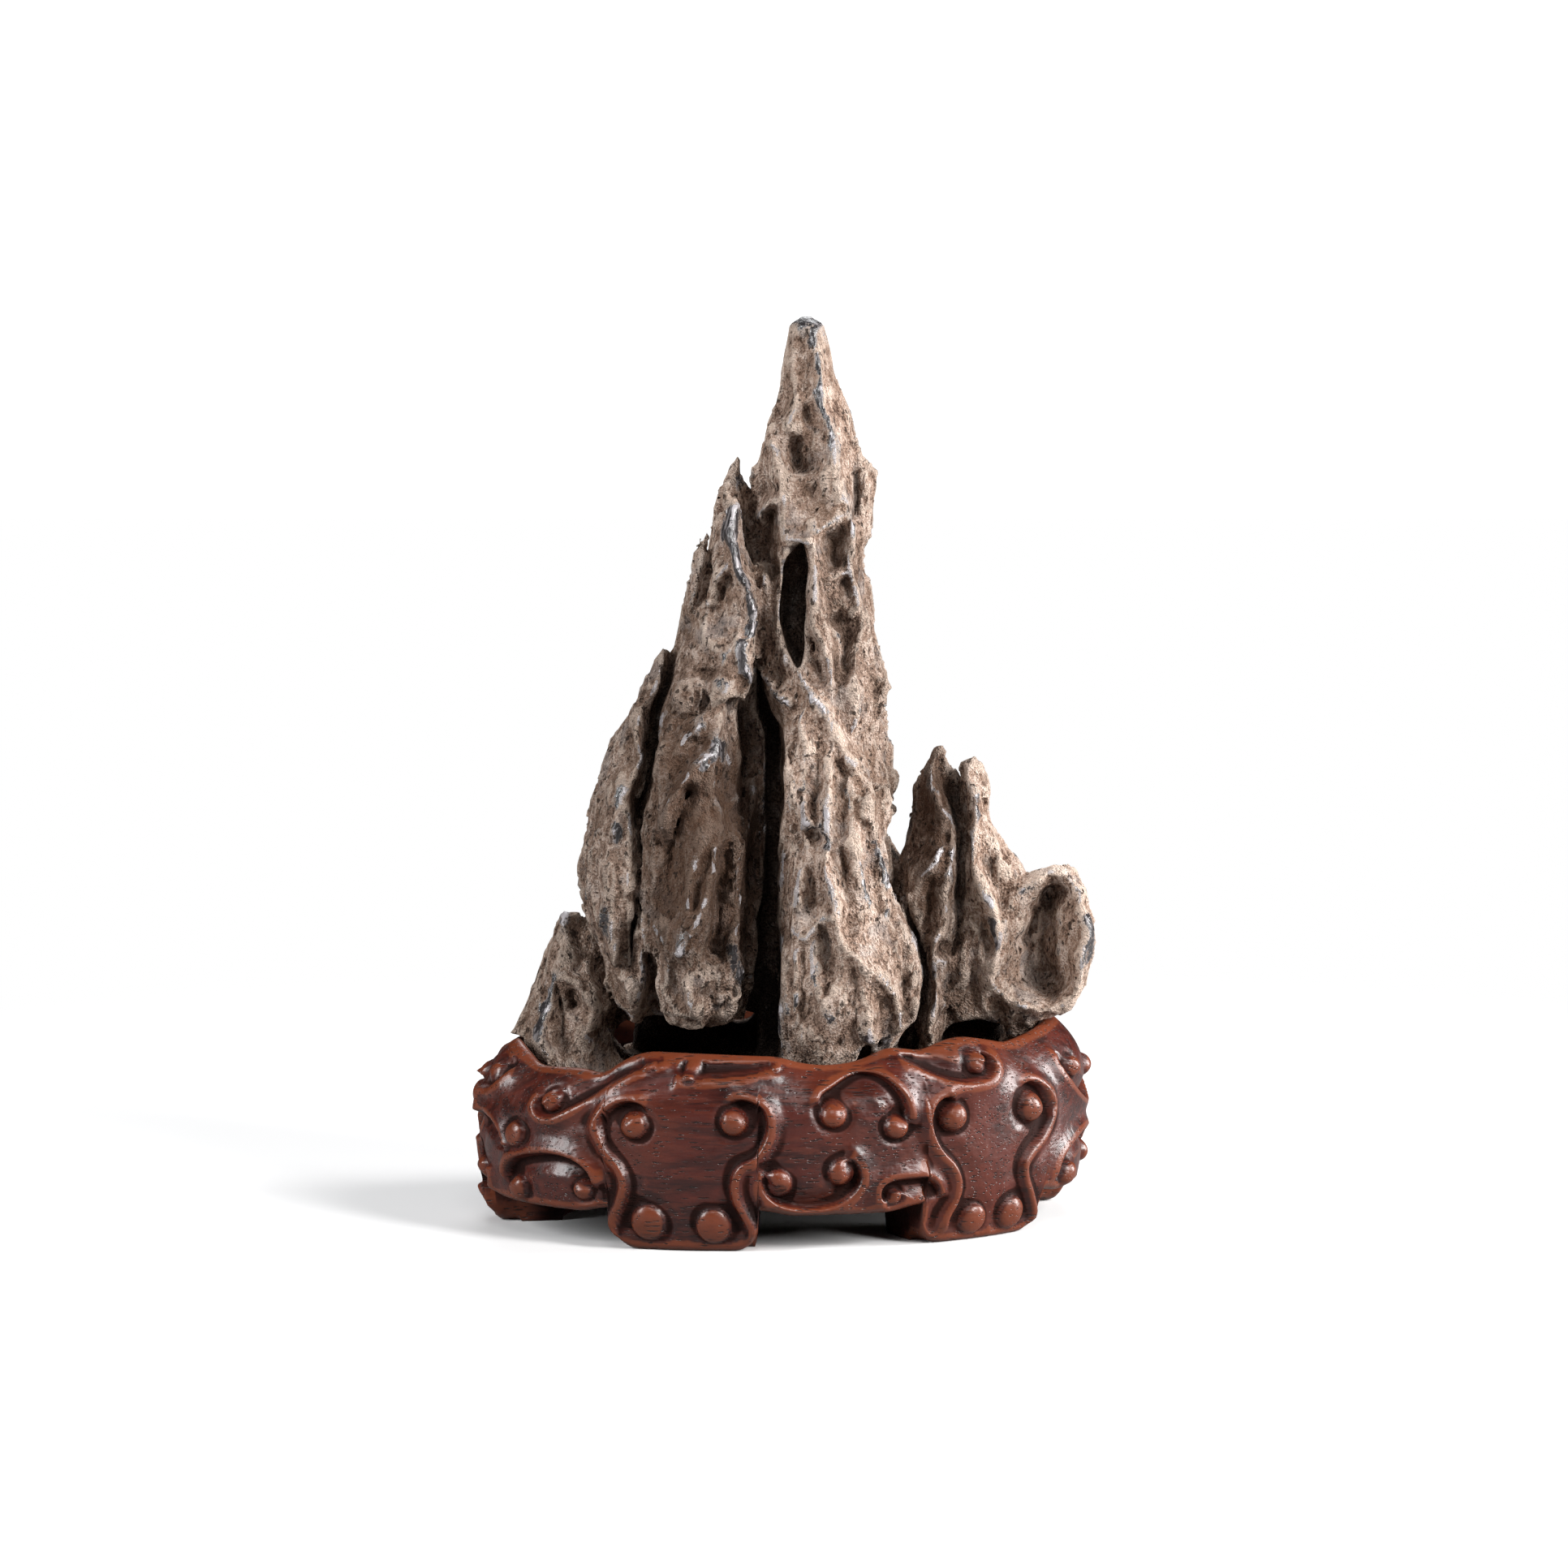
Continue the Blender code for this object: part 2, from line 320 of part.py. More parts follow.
# A lip is (side of its hollow: 1 left of its direction, -1 right; height; hollow depth at its start and
# end; moat depth at its start and end; points (arc, height)). A boss is (arc, height, radius, height out).
BROAD_LEG_LIPS = [
    (1, 1.7, (2.0, 0.0), (0.0, 2.2), [
        (-8.6, 41.6), (-12.2, 44.4), (-17.4, 44.4), (-22.8, 41.2), (-24.9, 36.6), (-22.1, 30.0),
        (-17.6, 24.5), (-16.3, 19.5), (-17.9, 14.1), (-20.4, 10.0), (-21.4, 5.6), (-20.2, 1.6)]),
    (-1, 1.7, (2.0, 0.0), (0.0, 2.2), [
        (11.6, 43.6), (17.6, 45.8), (23.6, 43.7), (25.9, 39.3), (25.3, 33.7), (22.1, 28.5), (17.1, 25.2),
        (15.4, 20.8), (15.9, 15.7), (18.2, 11.0), (20.6, 6.4), (20.2, 1.6)]),
]
BROAD_LEG_BOSSES = [
    (-13.4, 37.4, 4.0, 2.6), (15.6, 38.8, 4.0, 2.6), (-10.4, 8.6, 5.4, 2.2), (9.3, 8.0, 5.4, 2.2)]
SLIM_LEG_LIPS = [
    (1, 1.7, (2.0, 0.0), (0.0, 2.2), [
        (-11.6, 41.6), (-15.6, 44.4), (-20.0, 42.6), (-21.9, 38.4), (-21.3, 33.4), (-18.5, 28.0),
        (-13.9, 23.0), (-11.8, 17.6), (-12.6, 12.4), (-14.8, 7.6), (-14.4, 2.0)]),
    (-1, 1.7, (2.0, 0.0), (0.0, 2.2), [
        (9.0, 44.4), (15.2, 46.2), (21.0, 42.6), (23.5, 36.5), (20.0, 30.0), (14.5, 25.5), (11.4, 21.5),
        (12.0, 17.0), (15.6, 11.0), (18.6, 5.6), (18.0, 1.6)]),
]
SLIM_LEG_BOSSES = [
    (-14.4, 38.0, 4.2, 2.8), (13.6, 38.6, 4.8, 3.2), (-5.6, 6.6, 4.6, 2.2), (9.0, 7.0, 5.0, 2.2)]
FRONT_GAP_LIPS = [
    (-1, 1.6, (1.8, 1.8), (0.0, 0.0), [
        (0.6, 42.0), (1.2, 46.0), (6.2, 49.0), (11.0, 51.2), (16.0, 52.2), (21.6, 50.8), (26.0, 46.2),
        (28.0, 41.0), (27.4, 35.6)]),
    (1, 1.6, (1.8, 1.8), (0.0, 0.0), [
        (-13.6, 25.0), (-16.4, 21.6), (-15.4, 17.6), (-11.4, 14.2), (-4.6, 12.2), (3.0, 12.4), (10.0, 15.4),
        (13.6, 21.2), (11.6, 26.8), (7.0, 28.6)]),
    (-1, 1.4, (1.6, 1.6), (0.0, 0.0), [
        (23.0, 13.0), (19.4, 14.6), (19.2, 18.4), (22.4, 20.8), (28.4, 21.4), (34.6, 20.8), (38.4, 17.4),
        (38.6, 13.6)]),
    (1, 1.6, (2.0, 2.2), (0.0, 0.0), [
        (26.0, 55.6), (32.6, 52.0), (40.6, 48.4), (48.4, 46.8), (55.6, 48.4), (59.4, 52.4), (57.4, 56.0)]),
    (1, 1.4, (1.6, 1.6), (0.0, 0.0), [
        (-43.0, 51.8), (-37.0, 50.6), (-30.0, 50.4), (-17.4, 51.6), (-9.0, 54.4)]),
]
FRONT_GAP_BOSSES = [
    (5.0, 40.6, 4.0, 3.0), (23.6, 36.2, 3.6, 2.8), (-11.2, 20.6, 4.2, 2.2), (7.6, 23.6, 4.2, 2.4),
    (23.4, 15.6, 2.4, 1.0), (53.0, 52.4, 3.4, 2.4), (-37.6, 53.4, 2.8, 2.2), (-11.6, 54.8, 2.0, 1.2)]
LEFT_GAP_LIPS = [
    (-1, 1.7, (2.0, 2.0), (0.0, 0.0), [
        (-100.4, 15.6), (-99.4, 20.6), (-94.4, 24.8), (-86.6, 27.0), (-78.0, 27.8), (-70.6, 26.2),
        (-66.2, 22.4), (-65.4, 17.2)]),
    (1, 1.6, (1.6, 1.2), (0.0, 1.0), [
        (-85.4, 44.6), (-87.4, 41.0), (-84.4, 37.8), (-79.4, 37.6), (-72.6, 41.0), (-62.6, 47.2),
        (-51.0, 53.4), (-43.0, 56.0)]),
    (-1, 1.7, (1.8, 1.8), (0.0, 0.0), [
        (-127.0, 24.0), (-125.6, 30.0), (-121.0, 34.4), (-112.6, 35.8), (-104.4, 34.2), (-99.8, 30.4),
        (-98.6, 26.0)]),
    (1, 1.6, (1.8, 1.8), (0.0, 0.0), [
        (-131.0, 15.4), (-128.0, 11.8), (-122.0, 10.6), (-115.0, 11.6), (-111.4, 15.2), (-112.0, 20.0)]),
    (1, 1.5, (1.6, 1.6), (0.0, 0.0), [
        (-128.0, 46.4), (-122.0, 42.2), (-114.0, 41.6), (-107.4, 44.6), (-103.0, 50.0)]),
]
LEFT_GAP_BOSSES = [
    (-94.0, 15.4, 3.8, 2.4), (-69.4, 17.4, 3.0, 2.0), (-81.6, 42.2, 3.2, 2.6), (-51.2, 55.4, 2.6, 1.6),
    (-93.4, 31.6, 3.8, 2.2), (-118.6, 17.0, 3.8, 2.6), (-112.4, 46.6, 3.4, 2.0), (-123.6, 46.2, 3.0, 2.2)]
RIGHT_GAP_LIPS = [
    (1, 1.6, (1.8, 1.8), (0.0, 0.0), [
        (88.6, 53.4), (86.0, 50.0), (87.4, 45.6), (93.0, 40.6), (101.0, 36.6), (110.0, 34.8), (118.0, 36.4),
        (123.0, 41.0)]),
    (-1, 1.7, (2.0, 2.0), (0.0, 0.0), [
        (83.4, 13.0), (83.6, 18.8), (87.2, 23.0), (94.0, 26.2), (102.6, 27.6), (111.6, 26.8), (118.6, 23.6),
        (121.4, 18.6)]),
]
RIGHT_GAP_BOSSES = [
    (94.6, 47.0, 3.4, 2.6), (117.6, 44.0, 3.8, 3.0), (91.4, 15.2, 3.8, 2.6), (116.0, 18.4, 3.8, 2.8)]

# Each panel of carving: (shift along the arc, lips, bosses). The far side repeats the near side's motifs.
PANELS = [
    (FEET_AT[0], BROAD_LEG_LIPS, BROAD_LEG_BOSSES),
    (FEET_AT[1], SLIM_LEG_LIPS, SLIM_LEG_BOSSES),
    (FEET_AT[2], SLIM_LEG_LIPS, SLIM_LEG_BOSSES),
    (FEET_AT[3], BROAD_LEG_LIPS, BROAD_LEG_BOSSES),
    (FEET_AT[4], BROAD_LEG_LIPS, BROAD_LEG_BOSSES),
    (0.0, FRONT_GAP_LIPS, FRONT_GAP_BOSSES),
    (0.0, LEFT_GAP_LIPS, LEFT_GAP_BOSSES),
    (0.0, RIGHT_GAP_LIPS, RIGHT_GAP_BOSSES),
    (187.0, FRONT_GAP_LIPS, FRONT_GAP_BOSSES),
    (-198.0, FRONT_GAP_LIPS, FRONT_GAP_BOSSES),
]


# ---------------------------------------------------------------- small field helpers
def smoothstep(low, high, value):
    t = np.clip((value - low) / (high - low), 0.0, 1.0)
    return t * t * (3.0 - 2.0 * t)


def soft_min(a, b, blend):
    h = np.clip(0.5 + 0.5 * (b - a) / blend, 0.0, 1.0)
    return b * (1.0 - h) + a * h - blend * h * (1.0 - h)


def soft_max(a, b, blend):
    return -soft_min(-a, -b, blend)


def lattice_hash(i, j, k, seed):
    """A repeatable pseudo-random value from 0 to 1 for each whole-number lattice point."""
    n = i * 374761393 + j * 668265263 + k * 2147483647 + seed * 1274126177
    n = (n ^ (n >> 13)) & 0xFFFFFFFF
    n = (n * 1103515245 + 12345) & 0xFFFFFFFF
    n = ((n ^ (n >> 16)) * 2246822519) & 0xFFFFFFFF
    return ((n ^ (n >> 15)) & 0xFFFFFF) / float(0xFFFFFF)


def value_noise(x, y, z, seed):
    """Smooth noise from -1 to 1."""
    i, j, k = (np.floor(v).astype(np.int64) for v in (x, y, z))
    fx, fy, fz = (smoothstep(0.0, 1.0, v - w) for v, w in ((x, i), (y, j), (z, k)))
    total = 0.0
    for di in (0, 1):
        for dj in (0, 1):
            for dk in (0, 1):
                share = (fx if di else 1 - fx) * (fy if dj else 1 - fy) * (fz if dk else 1 - fz)
                total = total + share * lattice_hash(i + di, j + dj, k + dk, seed)
    return 2.0 * total - 1.0


def cell_distance(x, y, z, seed):
    """Squared distance to the nearest of the points scattered one to a lattice cell."""
    i, j, k = (np.floor(v).astype(np.int64) for v in (x, y, z))
    nearest = np.full(x.shape, 9.0)
    for di in (-1, 0, 1):
        for dj in (-1, 0, 1):
            for dk in (-1, 0, 1):
                a, b, c = i + di, j + dj, k + dk
                bits = (lattice_hash(a, b, c, seed) * 0xFFFFFF).astype(np.int64)
                px = a + (bits & 255) / 255.0
                py = b + (bits >> 8 & 255) / 255.0
                pz = c + (bits >> 16 & 255) / 255.0
                nearest = np.minimum(nearest, (px - x) ** 2 + (py - y) ** 2 + (pz - z) ** 2)
    return nearest


def path_distance(x, z, points):
    """Distance to a polyline and the place along it, as a fractional point number."""
    best = np.full(x.shape, FAR_OFF)
    place = np.zeros(x.shape)
    for n in range(len(points) - 1):
        (ax, az), (bx, bz) = points[n][:2], points[n + 1][:2]
        dx, dz = bx - ax, bz - az
        t = np.clip(((x - ax) * dx + (z - az) * dz) / (dx * dx + dz * dz), 0.0, 1.0)
        d = np.hypot(x - ax - t * dx, z - az - t * dz)
        closer = d < best
        best = np.where(closer, d, best)
        place = np.where(closer, n + t, place)
    return best, place


# ---------------------------------------------------------------- the stand's plan and profile
def plan_point(turn, inset=0.0):
    """A point of the oval this far inside the stand's widest one; turn 0 is the front middle."""
    s, c = np.sin(turn), np.cos(turn)
    power = 2.0 / STAND_ROUNDNESS
    return ((STAND_HALF_LENGTH - inset) * np.sign(s) * np.abs(s) ** power,
            -(STAND_HALF_DEPTH - inset) * np.sign(c) * np.abs(c) ** power)


PLAN_TURNS = np.linspace(-np.pi, np.pi, 2881)
PLAN_X, PLAN_Y = plan_point(PLAN_TURNS)
PLAN_ARC = np.concatenate([[0.0], np.cumsum(np.hypot(np.diff(PLAN_X), np.diff(PLAN_Y)))])
HALF_ARC = PLAN_ARC[-1] / 2
PLAN_ARC -= HALF_ARC


def wrap_arc(arc):
    return (arc + HALF_ARC) % (2 * HALF_ARC) - HALF_ARC


def smooth_loop(arc, rows):
    """Smoothed value round the loop from rows of (arc, value)."""
    places = np.array([row[0] for row in rows], float)
    values = np.array([row[1] for row in rows], float)
    places = np.concatenate([[places[-1] - 2 * HALF_ARC], places, [places[0] + 2 * HALF_ARC]])
    values = np.concatenate([[values[-1]], values, [values[0]]])
    shifts = (-3.0, -1.5, 0.0, 1.5, 3.0)
    return sum(np.interp(wrap_arc(arc + shift), places, values) for shift in shifts) / len(shifts)


def to_object(px, py):
    """From the stand's own axes to the object's."""
    c, s = np.cos(STAND_YAW), np.sin(STAND_YAW)
    return px * c - py * s, px * s + py * c


def socket_inset(z, rim):
    return SOCKET_MOUTH_INSET + SOCKET_TAPER * np.clip((rim - z) / (rim - SOCKET_FLOOR), 0.0, 1.0)


def socket_limit(x, y, z):
    """Positive where the rock would touch the stand's socket or its rim."""
    c, s = np.cos(STAND_YAW), np.sin(STAND_YAW)
    px, py = x * c + y * s, y * c - x * s
    half = STAND_ROUNDNESS / 2.0
    sine = np.sign(px) * (np.abs(px) / (STAND_HALF_LENGTH - SOCKET_MOUTH_INSET)) ** half
    cosine = -np.sign(py) * (np.abs(py) / (STAND_HALF_DEPTH - SOCKET_MOUTH_INSET)) ** half
    rim = smooth_loop(np.interp(np.arctan2(sine, cosine), PLAN_TURNS, PLAN_ARC), RIM)
    inset = socket_inset(z, rim) + SOCKET_CLEARANCE - RIM_SPREAD * np.maximum(z - rim - RIM_BEAD, 0.0)
    long_half = np.maximum(STAND_HALF_LENGTH - inset, 10.0)
    short_half = np.maximum(STAND_HALF_DEPTH - inset, 10.0)
    size = (np.abs(px) / long_half) ** STAND_ROUNDNESS + (np.abs(py) / short_half) ** STAND_ROUNDNESS
    outside = (size ** (1.0 / STAND_ROUNDNESS) - 1.0) * short_half
    return np.maximum(outside, SOCKET_FLOOR + REST_GAP - z)


def wall_inset(z, rim):
    """The bulging wall: widest at a third of its height, drawn in at the rim and at the floor."""
    rim_height, rim_depth, rim_power = RIM_DRAW_IN
    floor_height, hem_depth, hem_power = HEM_DRAW_IN
    near_rim = np.clip(1.0 - (rim - z) / rim_height, 0.0, 1.0)
    near_floor = np.clip(1.0 - z / floor_height, 0.0, 1.0)
    return rim_depth * near_rim ** rim_power + hem_depth * near_floor ** hem_power


def beside_foot(arc):
    """How far along the wall a place lies outside the nearest foot; negative over it."""
    return np.min([np.abs(wrap_arc(arc - at)) for at in FEET_AT], axis=0) - FOOT_HALF_WIDTH


def foot_share(arc):
    """One over a foot, nought over the apron between feet."""
    start, end = FOOT_BLEND
    return 1.0 - smoothstep(start, end, beside_foot(arc))


def hem_height(arc):
    """Height of the wall's lower edge: nought under a foot, round at its corners, then the apron."""
    away = beside_foot(arc)
    corner = np.clip(away / FOOT_CORNER + 1.0, 0.0, 1.0)
    foot = FOOT_CORNER * (1.0 - np.sqrt(1.0 - corner ** 2))
    rise, length = HEM_ARCH
    apron = APRON_LEVEL + rise * (1.0 - smoothstep(0.0, length, away))
    return np.where(away > 0, apron, foot)


# ---------------------------------------------------------------- the rock's shape
def column_distance(x, y, z, rows):
    """Roughly the distance to a column whose oval section changes with height."""
    levels = [row[0] for row in rows][::-1]
    cx, cy, rx, ry = (np.interp(z, levels, [row[n] for row in rows][::-1]) for n in (1, 2, 3, 4))
    qx, qy = (x - cx) / rx, (y - cy) / ry
    reach = np.sqrt(qx * qx + qy * qy) + 1e-6
    slope = np.sqrt((qx / rx) ** 2 + (qy / ry) ** 2) + 1e-6
    flat = reach * (reach - 1.0) / slope
    over = np.maximum(z - levels[-1], levels[0] - z)
    return np.where(over > 0, np.hypot(np.maximum(flat, 0), over), np.maximum(flat, over))


def waver(x, z, reach):
    """Shifts places a little, so that drawn lines turn ragged."""
    flat = np.zeros(x.shape)
    broad = value_noise(x / 6.0, z / 9.0, flat, 61)
    fine = value_noise(x / 2.4, z / 4.0, flat, 63)
    lift = value_noise(x / 6.0, z / 9.0, flat, 62)
    return x + reach * (broad + 0.5 * fine), z + reach * lift


def nearest_line(x, z, lines):
    """Distance to the nearest of these lines, and their values blended by nearness."""
    best = np.full(x.shape, FAR_OFF)
    total, weight = np.zeros(x.shape), np.zeros(x.shape)
    for value, points in lines:
        d, _ = path_distance(x, z, points)
        best = np.minimum(best, d)
        nearness = (d + 1.0) ** -NEARNESS_POWER
        total += value * nearness
        weight += nearness
    return best, total / weight


def front_relief(x, z):
    """How far the front face stands out: planes between crests and valleys, with a few holes."""
    x, z = waver(x, z, 1.0)
    to_crest, height = nearest_line(x, z, CRESTS)
    to_valley, depth = nearest_line(x, z, VALLEYS)
    share = to_valley / (to_crest + to_valley + 0.01)
    relief = RELIEF_BOOST * (height * share - depth * (1.0 - share))
    relief *= 1.0 - smoothstep(*RELIEF_REACH, np.minimum(to_crest, to_valley))
    for cx, cz, rx, rz, hole, lean in HOLLOWS:
        c, s = np.cos(np.radians(lean)), np.sin(np.radians(lean))
        u = ((x - cx) * c + (z - cz) * s) / rx
        w = ((z - cz) * c - (x - cx) * s) / rz
        relief -= hole * (1.0 - smoothstep(*HOLE_EDGE, np.hypot(u, w)))
    return relief


def cut_width(x, z, rows):
    """Distance outside the mouth of a cut, as seen from the front."""
    d, place = path_distance(*waver(x, z, 0.9), rows)
    return d - np.interp(place, range(len(rows)), [row[2] for row in rows])


class Chart:
    """Values worked out once on a sheet of (x, z), softened a little and read back by blending."""

    step = 0.6
    x0, x1, z0, z1 = -102.0, 102.0, 28.0, 276.0

    def __init__(self, function):
        xs = np.arange(self.x0, self.x1, self.step)
        zs = np.arange(self.z0, self.z1, self.step)
        values = function(*np.meshgrid(xs, zs, indexing="ij"))
        for axis in (0, 1):
            values = (np.roll(values, 1, axis) + 2.0 * values + np.roll(values, -1, axis)) / 4.0
        self.values = values

    def read(self, x, z):
        u = np.clip((x - self.x0) / self.step, 0, self.values.shape[0] - 1.001)
        w = np.clip((z - self.z0) / self.step, 0, self.values.shape[1] - 1.001)
        i, k = u.astype(int), w.astype(int)
        u, w = u - i, w - k
        low = self.values[i, k] * (1 - u) + self.values[i + 1, k] * u
        high = self.values[i, k + 1] * (1 - u) + self.values[i + 1, k + 1] * u
        return low * (1 - w) + high * w


def scallops(x, y, z):
    """Upright hollows that meet in sharp crests."""
    total = np.full(x.shape, WEAR)
    for width, height, depth, seed in SCALLOPS:
        bend = 0.35 * value_noise(x / width, y / width, z / height, seed + 7)
        cells = cell_distance(x / width + bend, y / width, z / height + bend, seed)
        total += depth * (0.24 - np.minimum(cells, 0.7))
    width, height, depth, seed = BACK_FLUTES
    cells = cell_distance(x / width, y / width + 0.5, z / height + 0.2 * x / width, seed)
    return total + depth * (0.24 - np.minimum(cells, 0.7)) * smoothstep(2.0, 16.0, y)


def make_rock_field():
    relief = Chart(front_relief)
    mouths = {name: Chart(lambda x, z, rows=cut[2]: cut_width(x, z, rows)) for name, cut in CUTS.items()}

    def field(x, y, z):
        """Negative inside the rock, positive outside, in millimetres."""
        length, reach, seed = SWAY
        sx = x + reach * value_noise(x / length, y / length, z / (2 * length), seed)
        sy = y + reach * value_noise(x / length, y / length, z / (2 * length), seed + 1)
        sy += (1.0 - smoothstep(*RELIEF_DEPTH, y)) * relief.read(x, z)
        solid = np.full(x.shape, 1e3)
        for rows in MASSES.values():
            solid = soft_min(solid, column_distance(sx, sy, z, rows), MASS_BLEND)
        level, lumps, size, blend = GROUND
        ground = z - level - lumps * value_noise(x / size, y / size, 0.0 * z, seed + 2)
        solid = soft_min(solid, ground, blend)
        calm = 1.0 - 0.7 * smoothstep(225.0, 262.0, z)
        solid += calm * scallops(x, y, z)
        for name, (floor_y, blend, _) in CUTS.items():
            cut = np.maximum(mouths[name].read(sx, z), (y - floor_y) * 0.6)
            solid = soft_max(solid, -cut, blend)
        return np.maximum(solid, socket_limit(x, y, z))

    return field


# ---------------------------------------------------------------- from field to mesh
ROCK_BOX = ((-96.0, 98.0), (-52.0, 52.0), (33.0, 273.0))
CORNERS = [(c & 1, c >> 1 & 1, c >> 2) for c in range(8)]
TETRAHEDRA = [(0, 1, 3, 7), (0, 1, 5, 7), (0, 2, 3, 7), (0, 2, 6, 7), (0, 4, 5, 7), (0, 4, 6, 7)]
SKIP = 4                        # coarse samples find where the surface is


def sample_field(field, step):
    """The field on a grid, worked out finely only near the surface."""
    counts = [int(np.ceil((high - low) / (step * SKIP))) for low, high in ROCK_BOX]
    lows = [low for low, _ in ROCK_BOX]
    axes = [low + step * SKIP * (np.arange(n) + 0.5) for low, n in zip(lows, counts)]
    coarse = field(*np.meshgrid(*axes, indexing="ij"))
    values = coarse.astype(np.float32)
    for axis in range(3):
        values = np.repeat(values, SKIP, axis=axis)
    near = np.abs(values) < step * SKIP * 0.9 + 4.0
    where = np.nonzero(near)
    for part in np.array_split(np.arange(len(where[0])), max(1, len(where[0]) // 400000)):
        index = tuple(w[part] for w in where)
        values[index] = field(*(low + step * w for low, w in zip(lows, index)))
    return values, lows


def tetrahedron_triangles(corners, flat):
    """Triangles, each corner an (inside, outside) pair of grid points, of the surface in these tetrahedra."""
    inside = flat[corners] < 0
    count = inside.sum(axis=1)
    order = np.argsort(~inside, axis=1, kind="stable")
    ranked = np.take_along_axis(corners, order, axis=1)
    one, two, three = (ranked[count == n] for n in (1, 2, 3))
    found = [np.stack([one[:, [0, 1]], one[:, [0, 2]], one[:, [0, 3]]], axis=1),
             np.stack([three[:, [0, 3]], three[:, [1, 3]], three[:, [2, 3]]], axis=1),
             np.stack([two[:, [0, 2]], two[:, [0, 3]], two[:, [1, 3]]], axis=1),
             np.stack([two[:, [0, 2]], two[:, [1, 3]], two[:, [1, 2]]], axis=1)]
    return np.concatenate(found)


def iso_surface(values, lows, step):
    """The closed surface between the grid's negative and positive points."""
    nx, ny, nz = values.shape
    flat = values.ravel()
    inside = values < 0
    share = sum(inside[a:nx - 1 + a, b:ny - 1 + b, c:nz - 1 + c].astype(np.int8) for a, b, c in CORNERS)
    i, j, k = np.nonzero((share > 0) & (share < 8))
    cells = np.stack([((i + a) * ny + j + b) * nz + k + c for a, b, c in CORNERS], axis=1)
    pairs = np.concatenate([tetrahedron_triangles(cells[:, tet], flat) for tet in TETRAHEDRA])
    keys, faces = np.unique(pairs.reshape(-1, 2) @ np.array([nx * ny * nz, 1]), return_inverse=True)
    ends = np.stack([keys // (nx * ny * nz), keys % (nx * ny * nz)], axis=1)
    places = np.stack(np.unravel_index(ends, values.shape), axis=-1) * step + np.array(lows)
    depth = flat[ends].astype(float)
    t = np.clip(depth[:, 0] / (depth[:, 0] - depth[:, 1]), 0.06, 0.94)[:, None]
    points = places[:, 0] * (1 - t) + places[:, 1] * t
    faces = faces.reshape(-1, 3)
    outward = (places[faces, 1] - places[faces, 0]).sum(axis=1)
    a, b, c = (points[faces[:, n]] for n in range(3))
    turned = (np.cross(b - a, c - a) * outward).sum(axis=1) < 0
    faces[turned] = faces[turned][:, ::-1]
    return points, faces


def largest_body(points, faces):
    """Only the biggest closed sheet, so that stray crumbs and sealed bubbles go."""
    label = np.arange(len(points))
    while True:
        low = label.copy()
        np.minimum.at(low, faces.ravel(), np.repeat(label[faces].min(axis=1), 3))
        low = low[low]
        if np.array_equal(low, label):
            break
        label = low
    keep = label == np.bincount(label).argmax()
    number = np.cumsum(keep) - 1
    return points[keep], number[faces[keep[faces[:, 0]]]]


def mesh_object(name, points, faces, material):
    mesh = bpy.data.meshes.new(name)
    mesh.from_pydata((np.asarray(points) * MM).tolist(), [], np.asarray(faces).tolist())
    mesh.materials.append(material)
    mesh.shade_smooth()
    thing = bpy.data.objects.new(name, mesh)
    bpy.context.scene.collection.objects.link(thing)
    return thing


def reduce_mesh(thing, triangles):
    """Collapse the flatter parts of the mesh until this many triangles are left."""
    thing.data.calc_loop_triangles()
    modifier = thing.modifiers.new("reduce", "DECIMATE")
    modifier.ratio = triangles / len(thing.data.loop_triangles)
    modifier.use_collapse_triangulate = True
    graph = bpy.context.evaluated_depsgraph_get()
    reduced = bpy.data.meshes.new_from_object(thing.evaluated_get(graph))
    thing.modifiers.clear()
    thing.data = reduced


# ---------------------------------------------------------------- the stand's carving
LIP_EASE = 3.2                  # how far a lip's outer side reaches
LIP_BLEND = 1.2                 # how softly two neighbouring sides meet
MOAT_SHARE = 0.6                # how much of its drawn depth the outer hollow keeps


def lip_relief(arc, z, lip):
    """A raised lip that drops steeply to a hollow on its inner side and eases away on its outer side."""
    side, height, inner, outer, points = lip
    inside = np.full(arc.shape, FAR_OFF)
    outside = np.full(arc.shape, FAR_OFF)
    place = np.zeros(arc.shape)
    curve = smooth_path(points)
    for n in range(len(curve) - 1):
        (ax, az), (bx, bz) = curve[n], curve[n + 1]
        dx, dz = bx - ax, bz - az
        px, pz = wrap_arc(arc - ax), z - az
        t = np.clip((px * dx + pz * dz) / (dx * dx + dz * dz), 0.0, 1.0)
        d = np.hypot(px - t * dx, pz - t * dz)
        place = np.where(d < np.minimum(inside, outside), n + t, place)
        within = side * (dx * pz - dz * px) > 0
        inside = np.where(within, np.minimum(inside, d), inside)
        outside = np.where(within, outside, np.minimum(outside, d))
    along = place / (len(curve) - 1)
    fade = smoothstep(0.0, 0.10, along) * smoothstep(1.0, 0.92, along)
    inner_now = inner[0] + (inner[1] - inner[0]) * along
    outer_now = outer[0] + (outer[1] - outer[0]) * along
    steep = height * (1.0 - smoothstep(0.0, 1.7, inside))
    bowl = smoothstep(0.0, 1.8, inside) * (1.0 - smoothstep(2.2, 8.0, inside))
    easy = height * np.exp(-(outside / LIP_EASE) ** 2)
    moat = smoothstep(0.8, 3.4, outside) * (1.0 - smoothstep(3.6, 8.0, outside))
    share = smoothstep(-LIP_BLEND, LIP_BLEND, outside - inside)
    hollow_side = steep - inner_now * bowl
    easy_side = easy - MOAT_SHARE * outer_now * moat
    return fade * (share * hollow_side + (1.0 - share) * easy_side)


